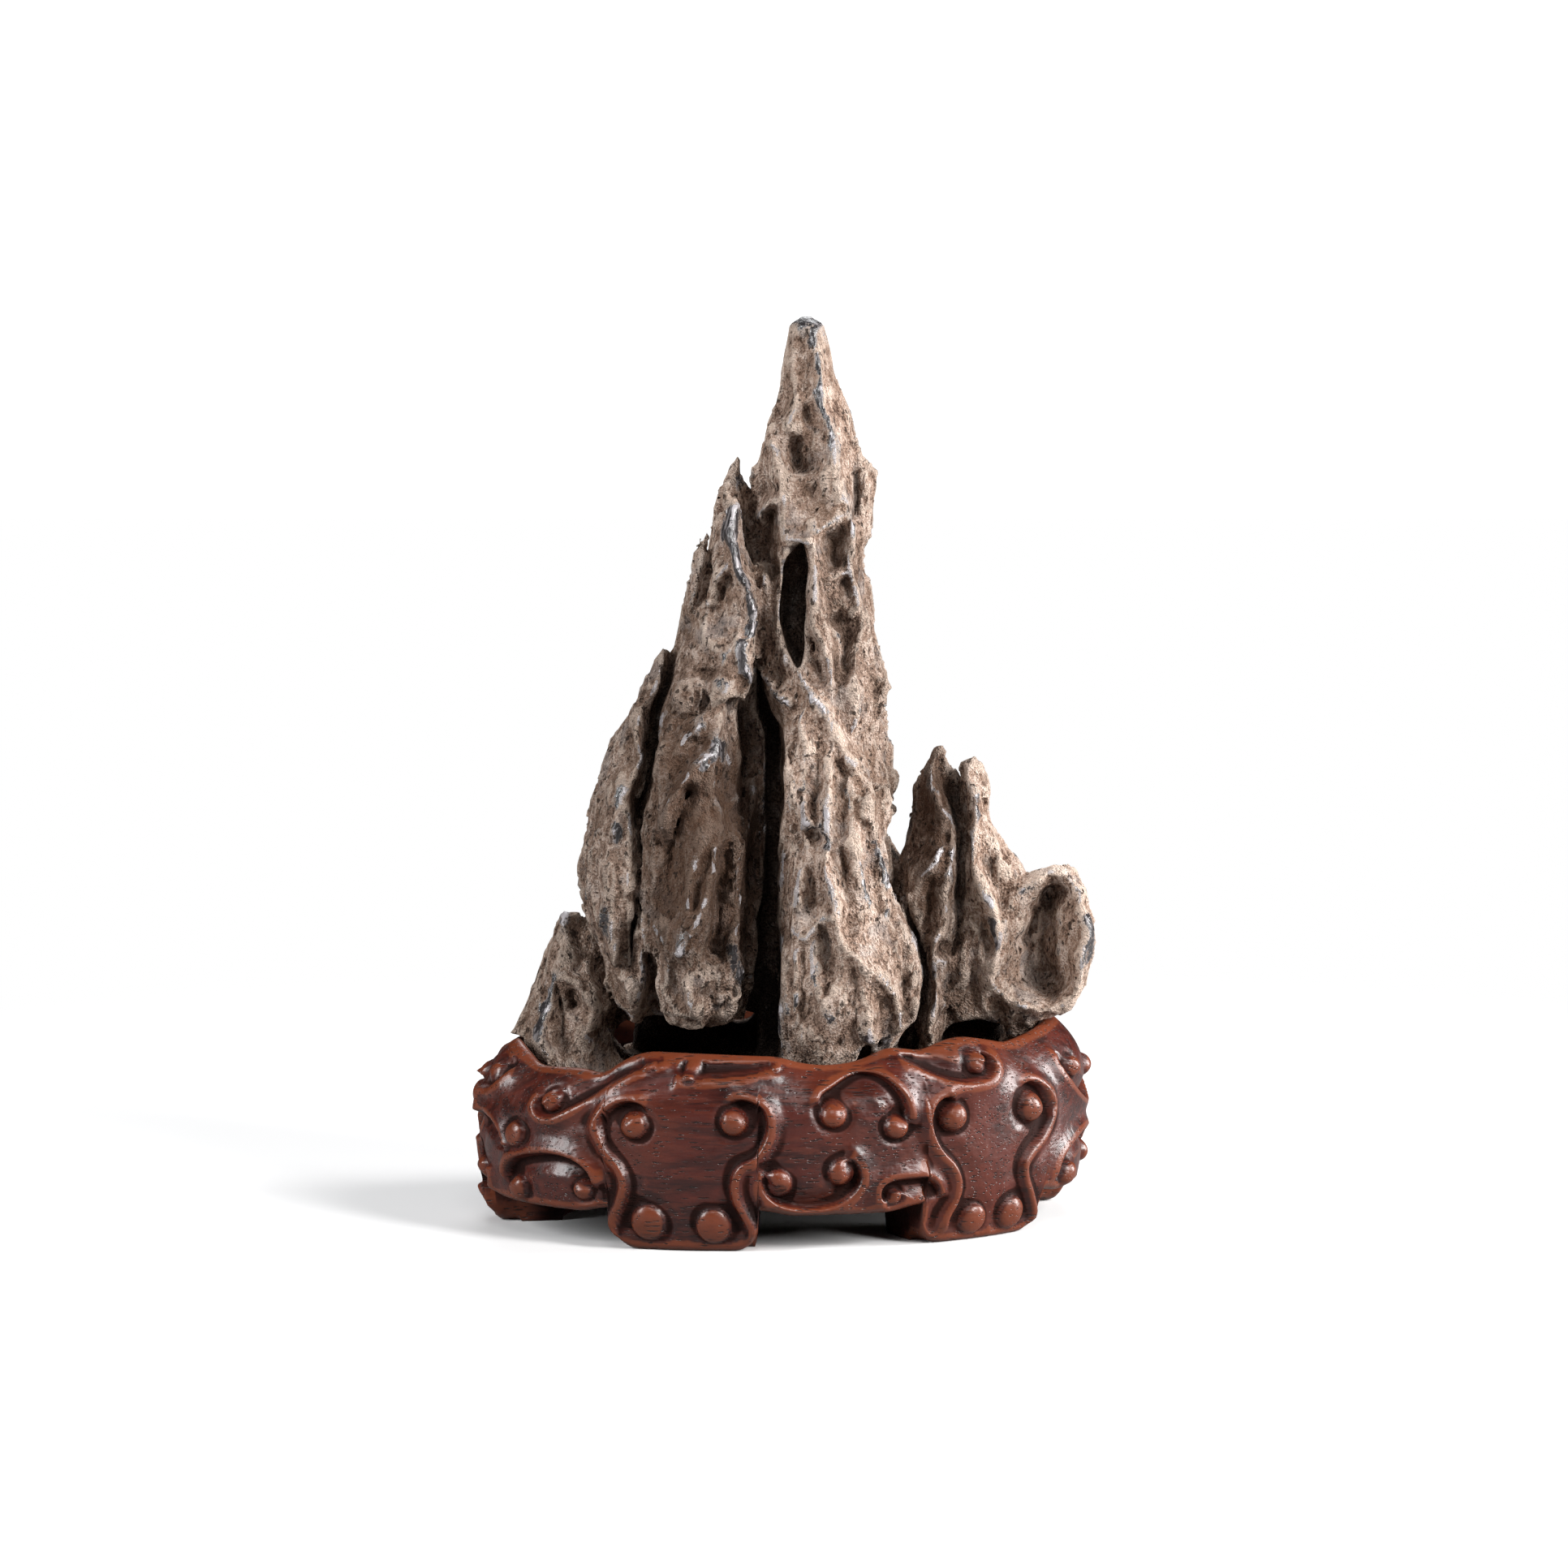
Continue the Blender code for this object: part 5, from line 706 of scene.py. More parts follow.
def scallops(x, y, z):
    """Upright hollows that meet in sharp crests, with chips and crags over them."""
    total = np.full(x.shape, WEAR)
    for width, height, depth, seed in SCALLOPS:
        bend = 0.35 * value_noise(x / width, y / width, z / height, seed + 7)
        cells = cell_distance(x / width + bend, y / width, z / height + bend, seed)
        total += depth * (SCALLOP_LEVEL - np.minimum(cells, SCALLOP_EDGE))
    for width, height, slope, seed in CHIPS:
        bend = 0.4 * value_noise(x / width, y / width, z / height, seed + 1)
        total += slope * chip_slopes(x / width + bend, y / width, z / height - bend, seed)
    for width, height, depth, seed in CRAGS:
        bend = 0.5 * value_noise(x / width, y / width, z / height, seed + 1)
        folds = value_noise(x / width + bend, y / width - bend, z / height + bend, seed)
        total += depth * (2.0 * np.abs(folds) - CRAG_LEVEL)
    width, height, depth, seed = BACK_FLUTES
    cells = cell_distance(x / width, y / width + 0.5, z / height + 0.2 * x / width, seed)
    flutes = depth * (SCALLOP_LEVEL - np.minimum(cells, SCALLOP_EDGE))
    return total + flutes * smoothstep(*BACK_FROM, y)


def make_rock_field():
    """The function that says how far a place is outside the rock."""
    relief = Chart(front_relief)
    mouths = {name: Chart(lambda x, z, rows=cut[2]: cut_width(x, z, rows)) for name, cut in CUTS.items()}

    def field(x, y, z):
        """Negative inside the rock, positive outside, in millimetres."""
        length, reach, seed = SWAY
        sx = x + reach * value_noise(x / length, y / length, z / (2 * length), seed)
        sy = y + reach * value_noise(x / length, y / length, z / (2 * length), seed + 1)
        sy += (1.0 - smoothstep(*RELIEF_DEPTH, y)) * relief.read(x, z)
        solid = np.full(x.shape, 1e3)
        for rows in MASSES.values():
            solid = soft_min(solid, column_distance(sx, sy, z, rows), MASS_BLEND)
        level, lumps, size, blend = GROUND
        ground = z - level - lumps * value_noise(x / size, y / size, 0.0 * z, seed + 2)
        solid = soft_min(solid, ground, blend)
        calm_from, calm_to, calm_share = CALM_PEAK
        solid += (1.0 - calm_share * smoothstep(calm_from, calm_to, z)) * scallops(x, y, z)
        for name, (floor_y, blend, _) in CUTS.items():
            cut = np.maximum(mouths[name].read(sx, z), (y - floor_y) * CUT_SLANT)
            solid = soft_max(solid, -cut, blend)
        return np.maximum(solid, socket_limit(x, y, z))

    return field


# ---------------------------------------------------------------- from field to mesh
ROCK_BOX = ((-96.0, 98.0), (-52.0, 52.0), (33.0, 273.0))
CORNERS = [(c & 1, c >> 1 & 1, c >> 2) for c in range(8)]
TETRAHEDRA = [(0, 1, 3, 7), (0, 1, 5, 7), (0, 2, 3, 7), (0, 2, 6, 7), (0, 4, 5, 7), (0, 4, 6, 7)]
SKIP = 4                        # coarse samples find where the surface is
NEAR_SURFACE = (0.9, 4.0)       # fine samples are taken within this many coarse steps, and mm more
BATCH = 400000                  # points worked out at a time
SLIVER_GUARD = (0.06, 0.94)     # keeps the surface's points off the grid's own


def sample_field(field, step):
    """The field on a grid, worked out finely only near the surface."""
    counts = [int(np.ceil((high - low) / (step * SKIP))) for low, high in ROCK_BOX]
    lows = [low for low, _ in ROCK_BOX]
    axes = [low + step * SKIP * (np.arange(n) + 0.5) for low, n in zip(lows, counts)]
    coarse = field(*np.meshgrid(*axes, indexing="ij"))
    values = coarse.astype(np.float32)
    for axis in range(3):
        values = np.repeat(values, SKIP, axis=axis)
    near = np.abs(values) < step * SKIP * NEAR_SURFACE[0] + NEAR_SURFACE[1]
    where = np.nonzero(near)
    for part in np.array_split(np.arange(len(where[0])), max(1, len(where[0]) // BATCH)):
        index = tuple(w[part] for w in where)
        values[index] = field(*(low + step * w for low, w in zip(lows, index)))
    return values, lows


def tetrahedron_triangles(corners, flat):
    """Triangles, each corner an (inside, outside) pair of grid points, of the surface in these tetrahedra."""
    inside = flat[corners] < 0
    count = inside.sum(axis=1)
    order = np.argsort(~inside, axis=1, kind="stable")
    ranked = np.take_along_axis(corners, order, axis=1)
    one, two, three = (ranked[count == n] for n in (1, 2, 3))
    found = [np.stack([one[:, [0, 1]], one[:, [0, 2]], one[:, [0, 3]]], axis=1),
             np.stack([three[:, [0, 3]], three[:, [1, 3]], three[:, [2, 3]]], axis=1),
             np.stack([two[:, [0, 2]], two[:, [0, 3]], two[:, [1, 3]]], axis=1),
             np.stack([two[:, [0, 2]], two[:, [1, 3]], two[:, [1, 2]]], axis=1)]
    return np.concatenate(found)


def iso_surface(values, lows, step):
    """The closed surface between the grid's negative and positive points."""
    nx, ny, nz = values.shape
    flat = values.ravel()
    inside = values < 0
    share = sum(inside[a:nx - 1 + a, b:ny - 1 + b, c:nz - 1 + c].astype(np.int8) for a, b, c in CORNERS)
    i, j, k = np.nonzero((share > 0) & (share < 8))
    cells = np.stack([((i + a) * ny + j + b) * nz + k + c for a, b, c in CORNERS], axis=1)
    pairs = np.concatenate([tetrahedron_triangles(cells[:, tet], flat) for tet in TETRAHEDRA])
    keys, faces = np.unique(pairs.reshape(-1, 2) @ np.array([nx * ny * nz, 1]), return_inverse=True)
    ends = np.stack([keys // (nx * ny * nz), keys % (nx * ny * nz)], axis=1)
    places = np.stack(np.unravel_index(ends, values.shape), axis=-1) * step + np.array(lows)
    depth = flat[ends].astype(float)
    t = np.clip(depth[:, 0] / (depth[:, 0] - depth[:, 1]), *SLIVER_GUARD)[:, None]
    points = places[:, 0] * (1 - t) + places[:, 1] * t
    faces = faces.reshape(-1, 3)
    outward = (places[faces, 1] - places[faces, 0]).sum(axis=1)
    a, b, c = (points[faces[:, n]] for n in range(3))
    turned = (np.cross(b - a, c - a) * outward).sum(axis=1) < 0
    faces[turned] = faces[turned][:, ::-1]
    return points, faces


def largest_body(points, faces):
    """Only the biggest closed sheet, so that stray crumbs and sealed bubbles go."""
    label = np.arange(len(points))
    while True:
        low = label.copy()
        np.minimum.at(low, faces.ravel(), np.repeat(label[faces].min(axis=1), 3))
        low = low[low]
        if np.array_equal(low, label):
            break
        label = low
    keep = label == np.bincount(label).argmax()
    number = np.cumsum(keep) - 1
    return points[keep], number[faces[keep[faces[:, 0]]]]


def mesh_object(name, points, faces, material):
    """A smooth-shaded object from points in millimetres."""
    mesh = bpy.data.meshes.new(name)
    mesh.from_pydata((np.asarray(points) * MM).tolist(), [], np.asarray(faces).tolist())
    mesh.materials.append(material)
    mesh.shade_smooth()
    thing = bpy.data.objects.new(name, mesh)
    bpy.context.scene.collection.objects.link(thing)
    return thing


def reduce_mesh(thing, triangles):
    """Collapse the flatter parts of the mesh until this many triangles are left."""
    thing.data.calc_loop_triangles()
    modifier = thing.modifiers.new("reduce", "DECIMATE")
    modifier.ratio = triangles / len(thing.data.loop_triangles)
    modifier.use_collapse_triangulate = True
    graph = bpy.context.evaluated_depsgraph_get()
    reduced = bpy.data.meshes.new_from_object(thing.evaluated_get(graph))
    thing.modifiers.clear()
    thing.data = reduced


# ---------------------------------------------------------------- the stand's carving
LIP_EASE = 3.2                  # how far a lip's outer side reaches
LIP_BLEND = 1.2                 # how softly two neighbouring sides meet
MOAT_SHARE = 0.6                # how much of its drawn depth the outer hollow keeps
LIP_ENDS = (0.10, 0.92)         # a lip rises from nothing and fades to nothing over these shares
LIP_STEEP = 1.7                 # width of the lip's steep side
BOWL = (1.8, 2.2, 8.0)          # the inner hollow: full from, full to, gone at
MOAT = (0.8, 3.4, 3.6, 8.0)     # the outer hollow: starts at, full from, full to, gone at
BOSS_DITCH = (0.85, 1.15, 1.25, 1.8, 0.45)  # the same round a boss, in its radii, and its depth
CARVING_START = 0.05            # share of the wall's height under the rim that fades the carving in
HEM_FADE = (2.0, 0.3)           # height over which the carving fades at the hem, and what is left


def lip_relief(arc, z, lip):
    """A raised lip that drops steeply to a hollow on its inner side and eases away on its outer side."""
    side, height, inner, outer, points = lip
    inside = np.full(arc.shape, FAR_OFF)
    outside = np.full(arc.shape, FAR_OFF)
    place = np.zeros(arc.shape)
    curve = smooth_path(points)
    for n in range(len(curve) - 1):
        (ax, az), (bx, bz) = curve[n], curve[n + 1]
        dx, dz = bx - ax, bz - az
        px, pz = wrap_arc(arc - ax), z - az
        t = np.clip((px * dx + pz * dz) / (dx * dx + dz * dz), 0.0, 1.0)
        d = np.hypot(px - t * dx, pz - t * dz)
        place = np.where(d < np.minimum(inside, outside), n + t, place)
        within = side * (dx * pz - dz * px) > 0
        inside = np.where(within, np.minimum(inside, d), inside)
        outside = np.where(within, outside, np.minimum(outside, d))
    along = place / (len(curve) - 1)
    fade = smoothstep(0.0, LIP_ENDS[0], along) * smoothstep(1.0, LIP_ENDS[1], along)
    inner_now = inner[0] + (inner[1] - inner[0]) * along
    outer_now = outer[0] + (outer[1] - outer[0]) * along
    steep = height * (1.0 - smoothstep(0.0, LIP_STEEP, inside))
    bowl = smoothstep(0.0, BOWL[0], inside) * (1.0 - smoothstep(*BOWL[1:], inside))
    easy = height * np.exp(-(outside / LIP_EASE) ** 2)
    moat = smoothstep(*MOAT[:2], outside) * (1.0 - smoothstep(*MOAT[2:], outside))
    share = smoothstep(-LIP_BLEND, LIP_BLEND, outside - inside)
    hollow_side = steep - inner_now * bowl
    easy_side = easy - MOAT_SHARE * outer_now * moat
    return fade * (share * hollow_side + (1.0 - share) * easy_side)


def smooth_path(points, parts=4):
    """A rounded curve through the points (Catmull-Rom)."""
    p = np.array(points, float)
    p = np.vstack([2 * p[0] - p[1], p, 2 * p[-1] - p[-2]])
    curve = []
    for n in range(1, len(p) - 2):
        for t in np.arange(parts) / parts:
            curve.append(0.5 * (2 * p[n] + (p[n + 1] - p[n - 1]) * t
                                + (2 * p[n - 1] - 5 * p[n] + 4 * p[n + 1] - p[n + 2]) * t * t
                                + (3 * p[n] - p[n - 1] - 3 * p[n + 1] + p[n + 2]) * t ** 3))
    curve.append(p[-2])
    return curve


def boss_relief(arc, z, boss):
    """A round dome with a shallow ditch round its foot."""
    at, level, radius, height = boss
    r = np.hypot(wrap_arc(arc - at), z - level) / radius
    dome = np.sqrt(np.clip(1.0 - r * r, 0.0, 1.0))
    start, full, until, end, depth = BOSS_DITCH
    ditch = smoothstep(start, full, r) * (1.0 - smoothstep(until, end, r))
    return height * dome - depth * ditch


def carving(arc, z):
    """How far the carving stands out of the wall."""
    relief = np.zeros(arc.shape)
    for shift, lips, bosses in PANELS:
        for lip in lips:
            relief += lip_relief(arc - shift, z, lip)
        for boss in bosses:
            relief += boss_relief(arc - shift, z, boss)
    return relief


def stand_surface(columns, wall_rows):
    """Rings of points from the middle of the socket floor, over the rim and down to the underside."""
    arc = (np.arange(columns) / columns * 2 - 1) * HALF_ARC
    turn = np.interp(arc, PLAN_ARC, PLAN_TURNS)
    rim = smooth_loop(arc, RIM)
    foot = foot_share(arc)
    hem = hem_height(arc)
    rings = []

    def ring(inset, z):
        px, py = plan_point(turn, inset)
        rings.append(np.stack([*to_object(px, py), z + 0 * arc], axis=1))

    for inset in FLOOR_RINGS:
        ring(SOCKET_MOUTH_INSET + SOCKET_TAPER + inset, SOCKET_FLOOR)
    for t in np.linspace(0.0, 1.0, SOCKET_WALL_ROWS):
        z = SOCKET_FLOOR + t * (rim - SOCKET_FLOOR)
        ring(socket_inset(z, rim), z)
    ring(SOCKET_MOUTH_INSET - LIP_TOP[0], rim + LIP_TOP[2])
    ring(SOCKET_MOUTH_INSET - LIP_TOP[1], rim + LIP_TOP[2])
    round_start, round_step, round_height, round_end = HEM_ROUND
    for t in np.linspace(0.0, 1.0, wall_rows):
        z = rim + t * (hem + round_start - rim)
        inset = wall_inset(z, rim)
        lift = carving(arc, z) * smoothstep(0.0, CARVING_START, t)
        ring(inset - lift * np.clip((z - hem) / HEM_FADE[0], HEM_FADE[1], 1.0), z)
    ring(wall_inset(hem, rim) + round_step, hem + round_height)
    ring(wall_inset(hem, rim) + round_end, hem)
    outer_edge, sole_start, sole_end, inner_edge = FOOT_INSETS
    ring(outer_edge, hem)
    ring(sole_start, (1.0 - foot) * UNDERSIDE_LEVEL)
    ring(sole_end, (1.0 - foot) * UNDERSIDE_LEVEL)
    ring(inner_edge, UNDERSIDE_LEVEL)
    ring(UNDERSIDE_INSET, UNDERSIDE_LEVEL)
    return rings


def stand_mesh(columns, wall_rows):
    """The stand's points and triangles, closed at the middle of its floor and of its underside."""
    rings = stand_surface(columns, wall_rows)
    points = np.concatenate(rings + [[[0.0, 0.0, SOCKET_FLOOR], [0.0, 0.0, UNDERSIDE_LEVEL]]])
    here = np.arange(columns)
    after = (here + 1) % columns
    faces = []
    for n in range(len(rings) - 1):
        a, b = n * columns + here, n * columns + after
        c, d = a + columns, b + columns
        faces.append(np.stack([a, c, d], axis=1))
        faces.append(np.stack([a, d, b], axis=1))
    top = np.full(columns, len(points) - 2)
    bottom = np.full(columns, len(points) - 1)
    last = (len(rings) - 1) * columns
    faces.append(np.stack([top, here, after], axis=1))
    faces.append(np.stack([last + here, bottom, last + after], axis=1))
    return points, np.concatenate(faces)


# ---------------------------------------------------------------- values for the finishes
def mesh_arrays(thing):
    """Points and normals in millimetres and the edges of an object's mesh."""
    mesh = thing.data
    points = np.empty(len(mesh.vertices) * 3, np.float32)
    mesh.vertices.foreach_get("co", points)
    normals = np.empty(len(mesh.vertices) * 3, np.float32)
    mesh.vertices.foreach_get("normal", normals)
    edges = np.empty(len(mesh.edges) * 2, np.int32)
    mesh.edges.foreach_get("vertices", edges)
    return (points.reshape(-1, 3).astype(float) / MM, normals.reshape(-1, 3).astype(float),
            edges.reshape(-1, 2))


def neighbour_mean(values, edges, degree):
    """The mean of each point's neighbours along the mesh's edges."""
    total = np.bincount(edges[:, 0], values[edges[:, 1]], len(values))
    total += np.bincount(edges[:, 1], values[edges[:, 0]], len(values))
    return total / degree


def convexity(points, normals, edges, rounds):
    """How far each point stands out of its smoothed surroundings, in millimetres."""
    degree = np.bincount(edges.ravel(), minlength=len(points)).astype(float)
    smooth = points.copy()
    for _ in range(rounds):
        smooth = np.stack([neighbour_mean(smooth[:, n], edges, degree) for n in range(3)], axis=1)
    return ((points - smooth) * normals).sum(axis=1)


def store(thing, name, values):
    """Keeps one value from 0 to 1 on each point of the mesh, for the finish to read."""
    layer = thing.data.attributes.new(name, "FLOAT", "POINT")
    layer.data.foreach_set("value", np.clip(values, 0.0, 1.0).astype(np.float32))


# Rubbed dark gloss: (strength, half width, points (x, z)) on the rock's front.
POLISHED = [
    (1.0, 0.9, [(10.2, 259), (10.5, 252), (10.7, 247), (12.0, 241), (13.2, 236), (13.4, 231)]),
    (0.8, 1.8, [(8.7, 266), (8.9, 262)]),
    (0.8, 1.0, [(9.2, 248), (10.6, 243)]),
    (1.0, 2.6, [(-15.2, 213), (-15.2, 208), (-15.6, 204)]),
    (1.0, 1.7, [(-14.6, 203), (-14.0, 199), (-12.4, 194), (-10.8, 190)]),
    (1.0, 2.6, [(-9.6, 187), (-9.2, 183), (-10.4, 178)]),
    (1.0, 2.2, [(-12.6, 174), (-12.2, 168), (-11.6, 163)]),
    (0.9, 1.4, [(-20.4, 146), (-21.6, 141), (-24, 138)]),
    (0.9, 1.2, [(-20.0, 146), (-18.6, 140)]),
    (0.9, 1.8, [(-49.2, 121), (-48.6, 116)]),
    (0.8, 1.4, [(-48.6, 131), (-48.8, 127)]),
    (0.7, 2.0, [(-52.4, 96), (-52.4, 88)]),
    (0.8, 2.4, [(-15.4, 85), (-14.2, 80), (-12.6, 76)]),
    (0.9, 2.4, [(9.0, 119), (12.2, 117)]),
    (0.8, 1.6, [(25.6, 116), (28.6, 110), (30.6, 104)]),
    (0.6, 1.6, [(8, 158), (11.4, 154)]),
    (0.7, 1.4, [(8.6, 141), (8.2, 134)]),
    (0.7, 1.2, [(17.6, 132), (18.8, 127)]),
    (0.7, 1.6, [(30, 62), (28.6, 54)]),
    (0.8, 1.4, [(57.4, 128), (58, 121)]),
    (0.8, 2.2, [(61.6, 90), (61.8, 84)]),
    (0.8, 2.0, [(-68.6, 74), (-70.8, 68), (-73, 61), (-73.6, 57)]),
    (0.7, 2.0, [(90, 92), (92, 86), (91, 79)]),
]
PATCH_EDGE = (0.4, 1.2)         # where a rubbed patch starts to fade and ends, in its half widths
# The worn edge is glossy and also carries a painted pale glint.
GLINT_EDGE = (0.2, 0.85)         # how far the worn edge reaches from a sharp crest
EDGE_BREAKS = (3.2, 5.0, 73)    # width, height and seed of the breaks in it


def polished_places(x, z):
    """Broad rubbed patches, and the thin rubbed edge along each crest, glossy and painted with a pale glint,
    broken here and there.
    """
    x, z = waver(x, z, 1.0)
    best = np.zeros(x.shape)
    for strength, half, points in POLISHED:
        d, _ = path_distance(x, z, points)
        best = np.maximum(best, strength * (1.0 - smoothstep(PATCH_EDGE[0] * half, PATCH_EDGE[1] * half, d)))
    to_crest, _ = nearest_line(x, z, CRESTS)
    width, height, seed = EDGE_BREAKS
    unbroken = smoothstep(-0.1, 0.5, value_noise(x / width, z / height, 0.0 * x, seed))
    return best, unbroken * (1.0 - smoothstep(*GLINT_EDGE, to_crest))


# Paler and darker zones on the rock's front, partly the stone's own ground and partly painted light, such as
# the bright zone at (73, 80) on the dish's inner left wall: (x, z, half width, half height, tone).
TONES = [
    (2, 246, 16, 26, 0.7), (6, 214, 14, 10, 0.5), (-16, 196, 7, 18, 0.6), (18, 176, 8, 16, 0.0),
    (-14, 160, 10, 10, 0.25), (-27, 112, 13, 32, -1.0), (-26, 70, 12, 10, 0.55),
    (-48, 116, 8, 24, -0.05), (-48, 78, 8, 12, 0.15), (11, 138, 12, 20, 0.9), (20, 96, 14, 26, 0.65),
    (14, 62, 12, 10, 0.2), (-10, 110, 5, 30, -0.8), (45, 112, 7, 20, -0.9), (46, 74, 8, 16, -0.3),
    (58, 114, 6, 16, 0.9), (62, 84, 9, 16, 0.3), (73, 80, 9, 20, 2.6), (86, 84, 6, 16, 0.9),
    (-62, 70, 10, 18, 0.0), (30, 142, 8, 14, 0.0), (34, 108, 5, 20, 0.1),
]
TONE_WAVER = 3.0
PLAIN_WEIGHT = 0.08             # how much untoned ground counts against the zones near it


def tone_and_painted_light(x, z):
    """Blended tone of the zones, partly the stone's own and partly painted light; nought is the stone's own.
    """
    x, z = waver(x, z, TONE_WAVER)
    total, weight = np.zeros(x.shape), np.full(x.shape, PLAIN_WEIGHT)
    for cx, cz, rx, rz, tone in TONES:
        near = np.exp(-((x - cx) / rx) ** 2 - ((z - cz) / rz) ** 2)
        total += tone * near
        weight += near
    return total / weight


DEEP_MOUTH = (-1.2, 0.4)        # from inside a cut's mouth to outside it
DEEP_FLOOR = (2.0, 8.0)         # how far in front of its floor the shade fades


def depth_shade(x, y, z):
    """Painted shade: one on the floors and walls of the deep cuts."""
    deep = np.zeros(x.shape)
    for floor_y, _, rows in CUTS.values():
        mouth = 1.0 - smoothstep(*DEEP_MOUTH, cut_width(x, z, rows))
        in_front = smoothstep(floor_y + DEEP_FLOOR[0], floor_y + DEEP_FLOOR[1], y)
        deep = np.maximum(deep, mouth * (1.0 - in_front))
    return deep


ROCK_ROUNDS = (3, 14, 70)       # rounds of smoothing that bring out fine, middle and broad forms
STAND_ROUNDS = (8, 40)
FACING_FRONT = (-0.1, 0.35)     # the normal's y, from a front face to one that looks back
FRONT_SKIN = (4.0, 10.0)        # depths between which the front's gloss ends
FRONT_TONE = (5.0, 25.0)        # depths between which the front's tones end
RUBBED_PATCHES = (6.0, 11.0, 71)    # width, height and seed of the patches that are rubbed at all
SUMMIT_WEAR = (262.0, 271.0)    # heights between which the summit turns glossy
SUMMIT_BREAKS = (2.5, 4.0, 2.5, 73)     # width, height, reach and seed of that line's wander


def dress_rock(rock):
    """Where the rock is rubbed, worn at its edges with a painted glint, deep and hollow with painted shade,
    pale and dark in zones that are partly painted light, and crested with a painted highlight.
    """
    points, normals, edges = mesh_arrays(rock)
    x, y, z = points.T
    fine, middle, broad = (convexity(points, normals, edges, rounds) for rounds in ROCK_ROUNDS)
    front = (1.0 - smoothstep(*FACING_FRONT, normals[:, 1])) * (1.0 - smoothstep(*FRONT_SKIN, y))
    drawn, glint_line = polished_places(x, z)
    width, height, seed = RUBBED_PATCHES
    patches = smoothstep(0.15, 0.6, value_noise(x / width, y / width, z / height, seed))
    rubbed = 0.6 * smoothstep(0.40, 0.80, middle) * patches
    width, height, reach, seed = SUMMIT_BREAKS
    wander = reach * value_noise(x / width, y / width, z / height, seed)
    summit = smoothstep(*SUMMIT_WEAR, z + wander)
    standing_out = smoothstep(-0.4, 0.3, middle)
    sharp = smoothstep(0.9, 1.8, middle) * patches
    store(rock, "polish", np.maximum.reduce([drawn * front * standing_out, rubbed, summit]))
    # edge: crest lines that are glossy and carry a painted pale glint.
    store(rock, "edge", np.maximum(glint_line * front, sharp) * standing_out)
    # deep: painted shade in the cuts.
    store(rock, "deep", depth_shade(x, y, z))
    # tone: zones that are partly the stone's own tone and partly painted light.
    store(rock, "tone", 0.5 + 0.5 * tone_and_painted_light(x, z) * (1.0 - smoothstep(*FRONT_TONE, y)))
    # crest: where convex crests get a painted highlight.
    store(rock, "crest", 0.5 * smoothstep(0.02, 0.35, fine) + 0.5 * smoothstep(0.1, 0.8, middle))
    # hollow: where hollows get painted shade.
    store(rock, "hollow", 0.7 * smoothstep(0.3, 3.0, -broad) + 0.3 * smoothstep(0.1, 0.9, -middle))


def dress_stand(stand):
    """Where the stand is paler on its crests, partly worn and partly painted highlight, and where painted
    shade darkens the hollows of its carving.
    """
    points, normals, edges = mesh_arrays(stand)
    middle, broad = (convexity(points, normals, edges, rounds) for rounds in STAND_ROUNDS)
    # worn: crests, paler partly from wear and partly as a painted highlight.
    store(stand, "worn", 0.6 * smoothstep(0.02, 0.22, middle) + 0.4 * smoothstep(0.1, 0.8, broad))
    # Mask of the hollows, for painted shade and a duller finish.
    store(stand, "shaded_recess", 0.55 * smoothstep(0.02, 0.25, -middle) + 0.45 * smoothstep(0.1, 0.9, -broad))


# ---------------------------------------------------------------- finishes
MIX_A, MIX_B, MIX_RESULT = 6, 7, 2      # the colour sockets of a Mix node


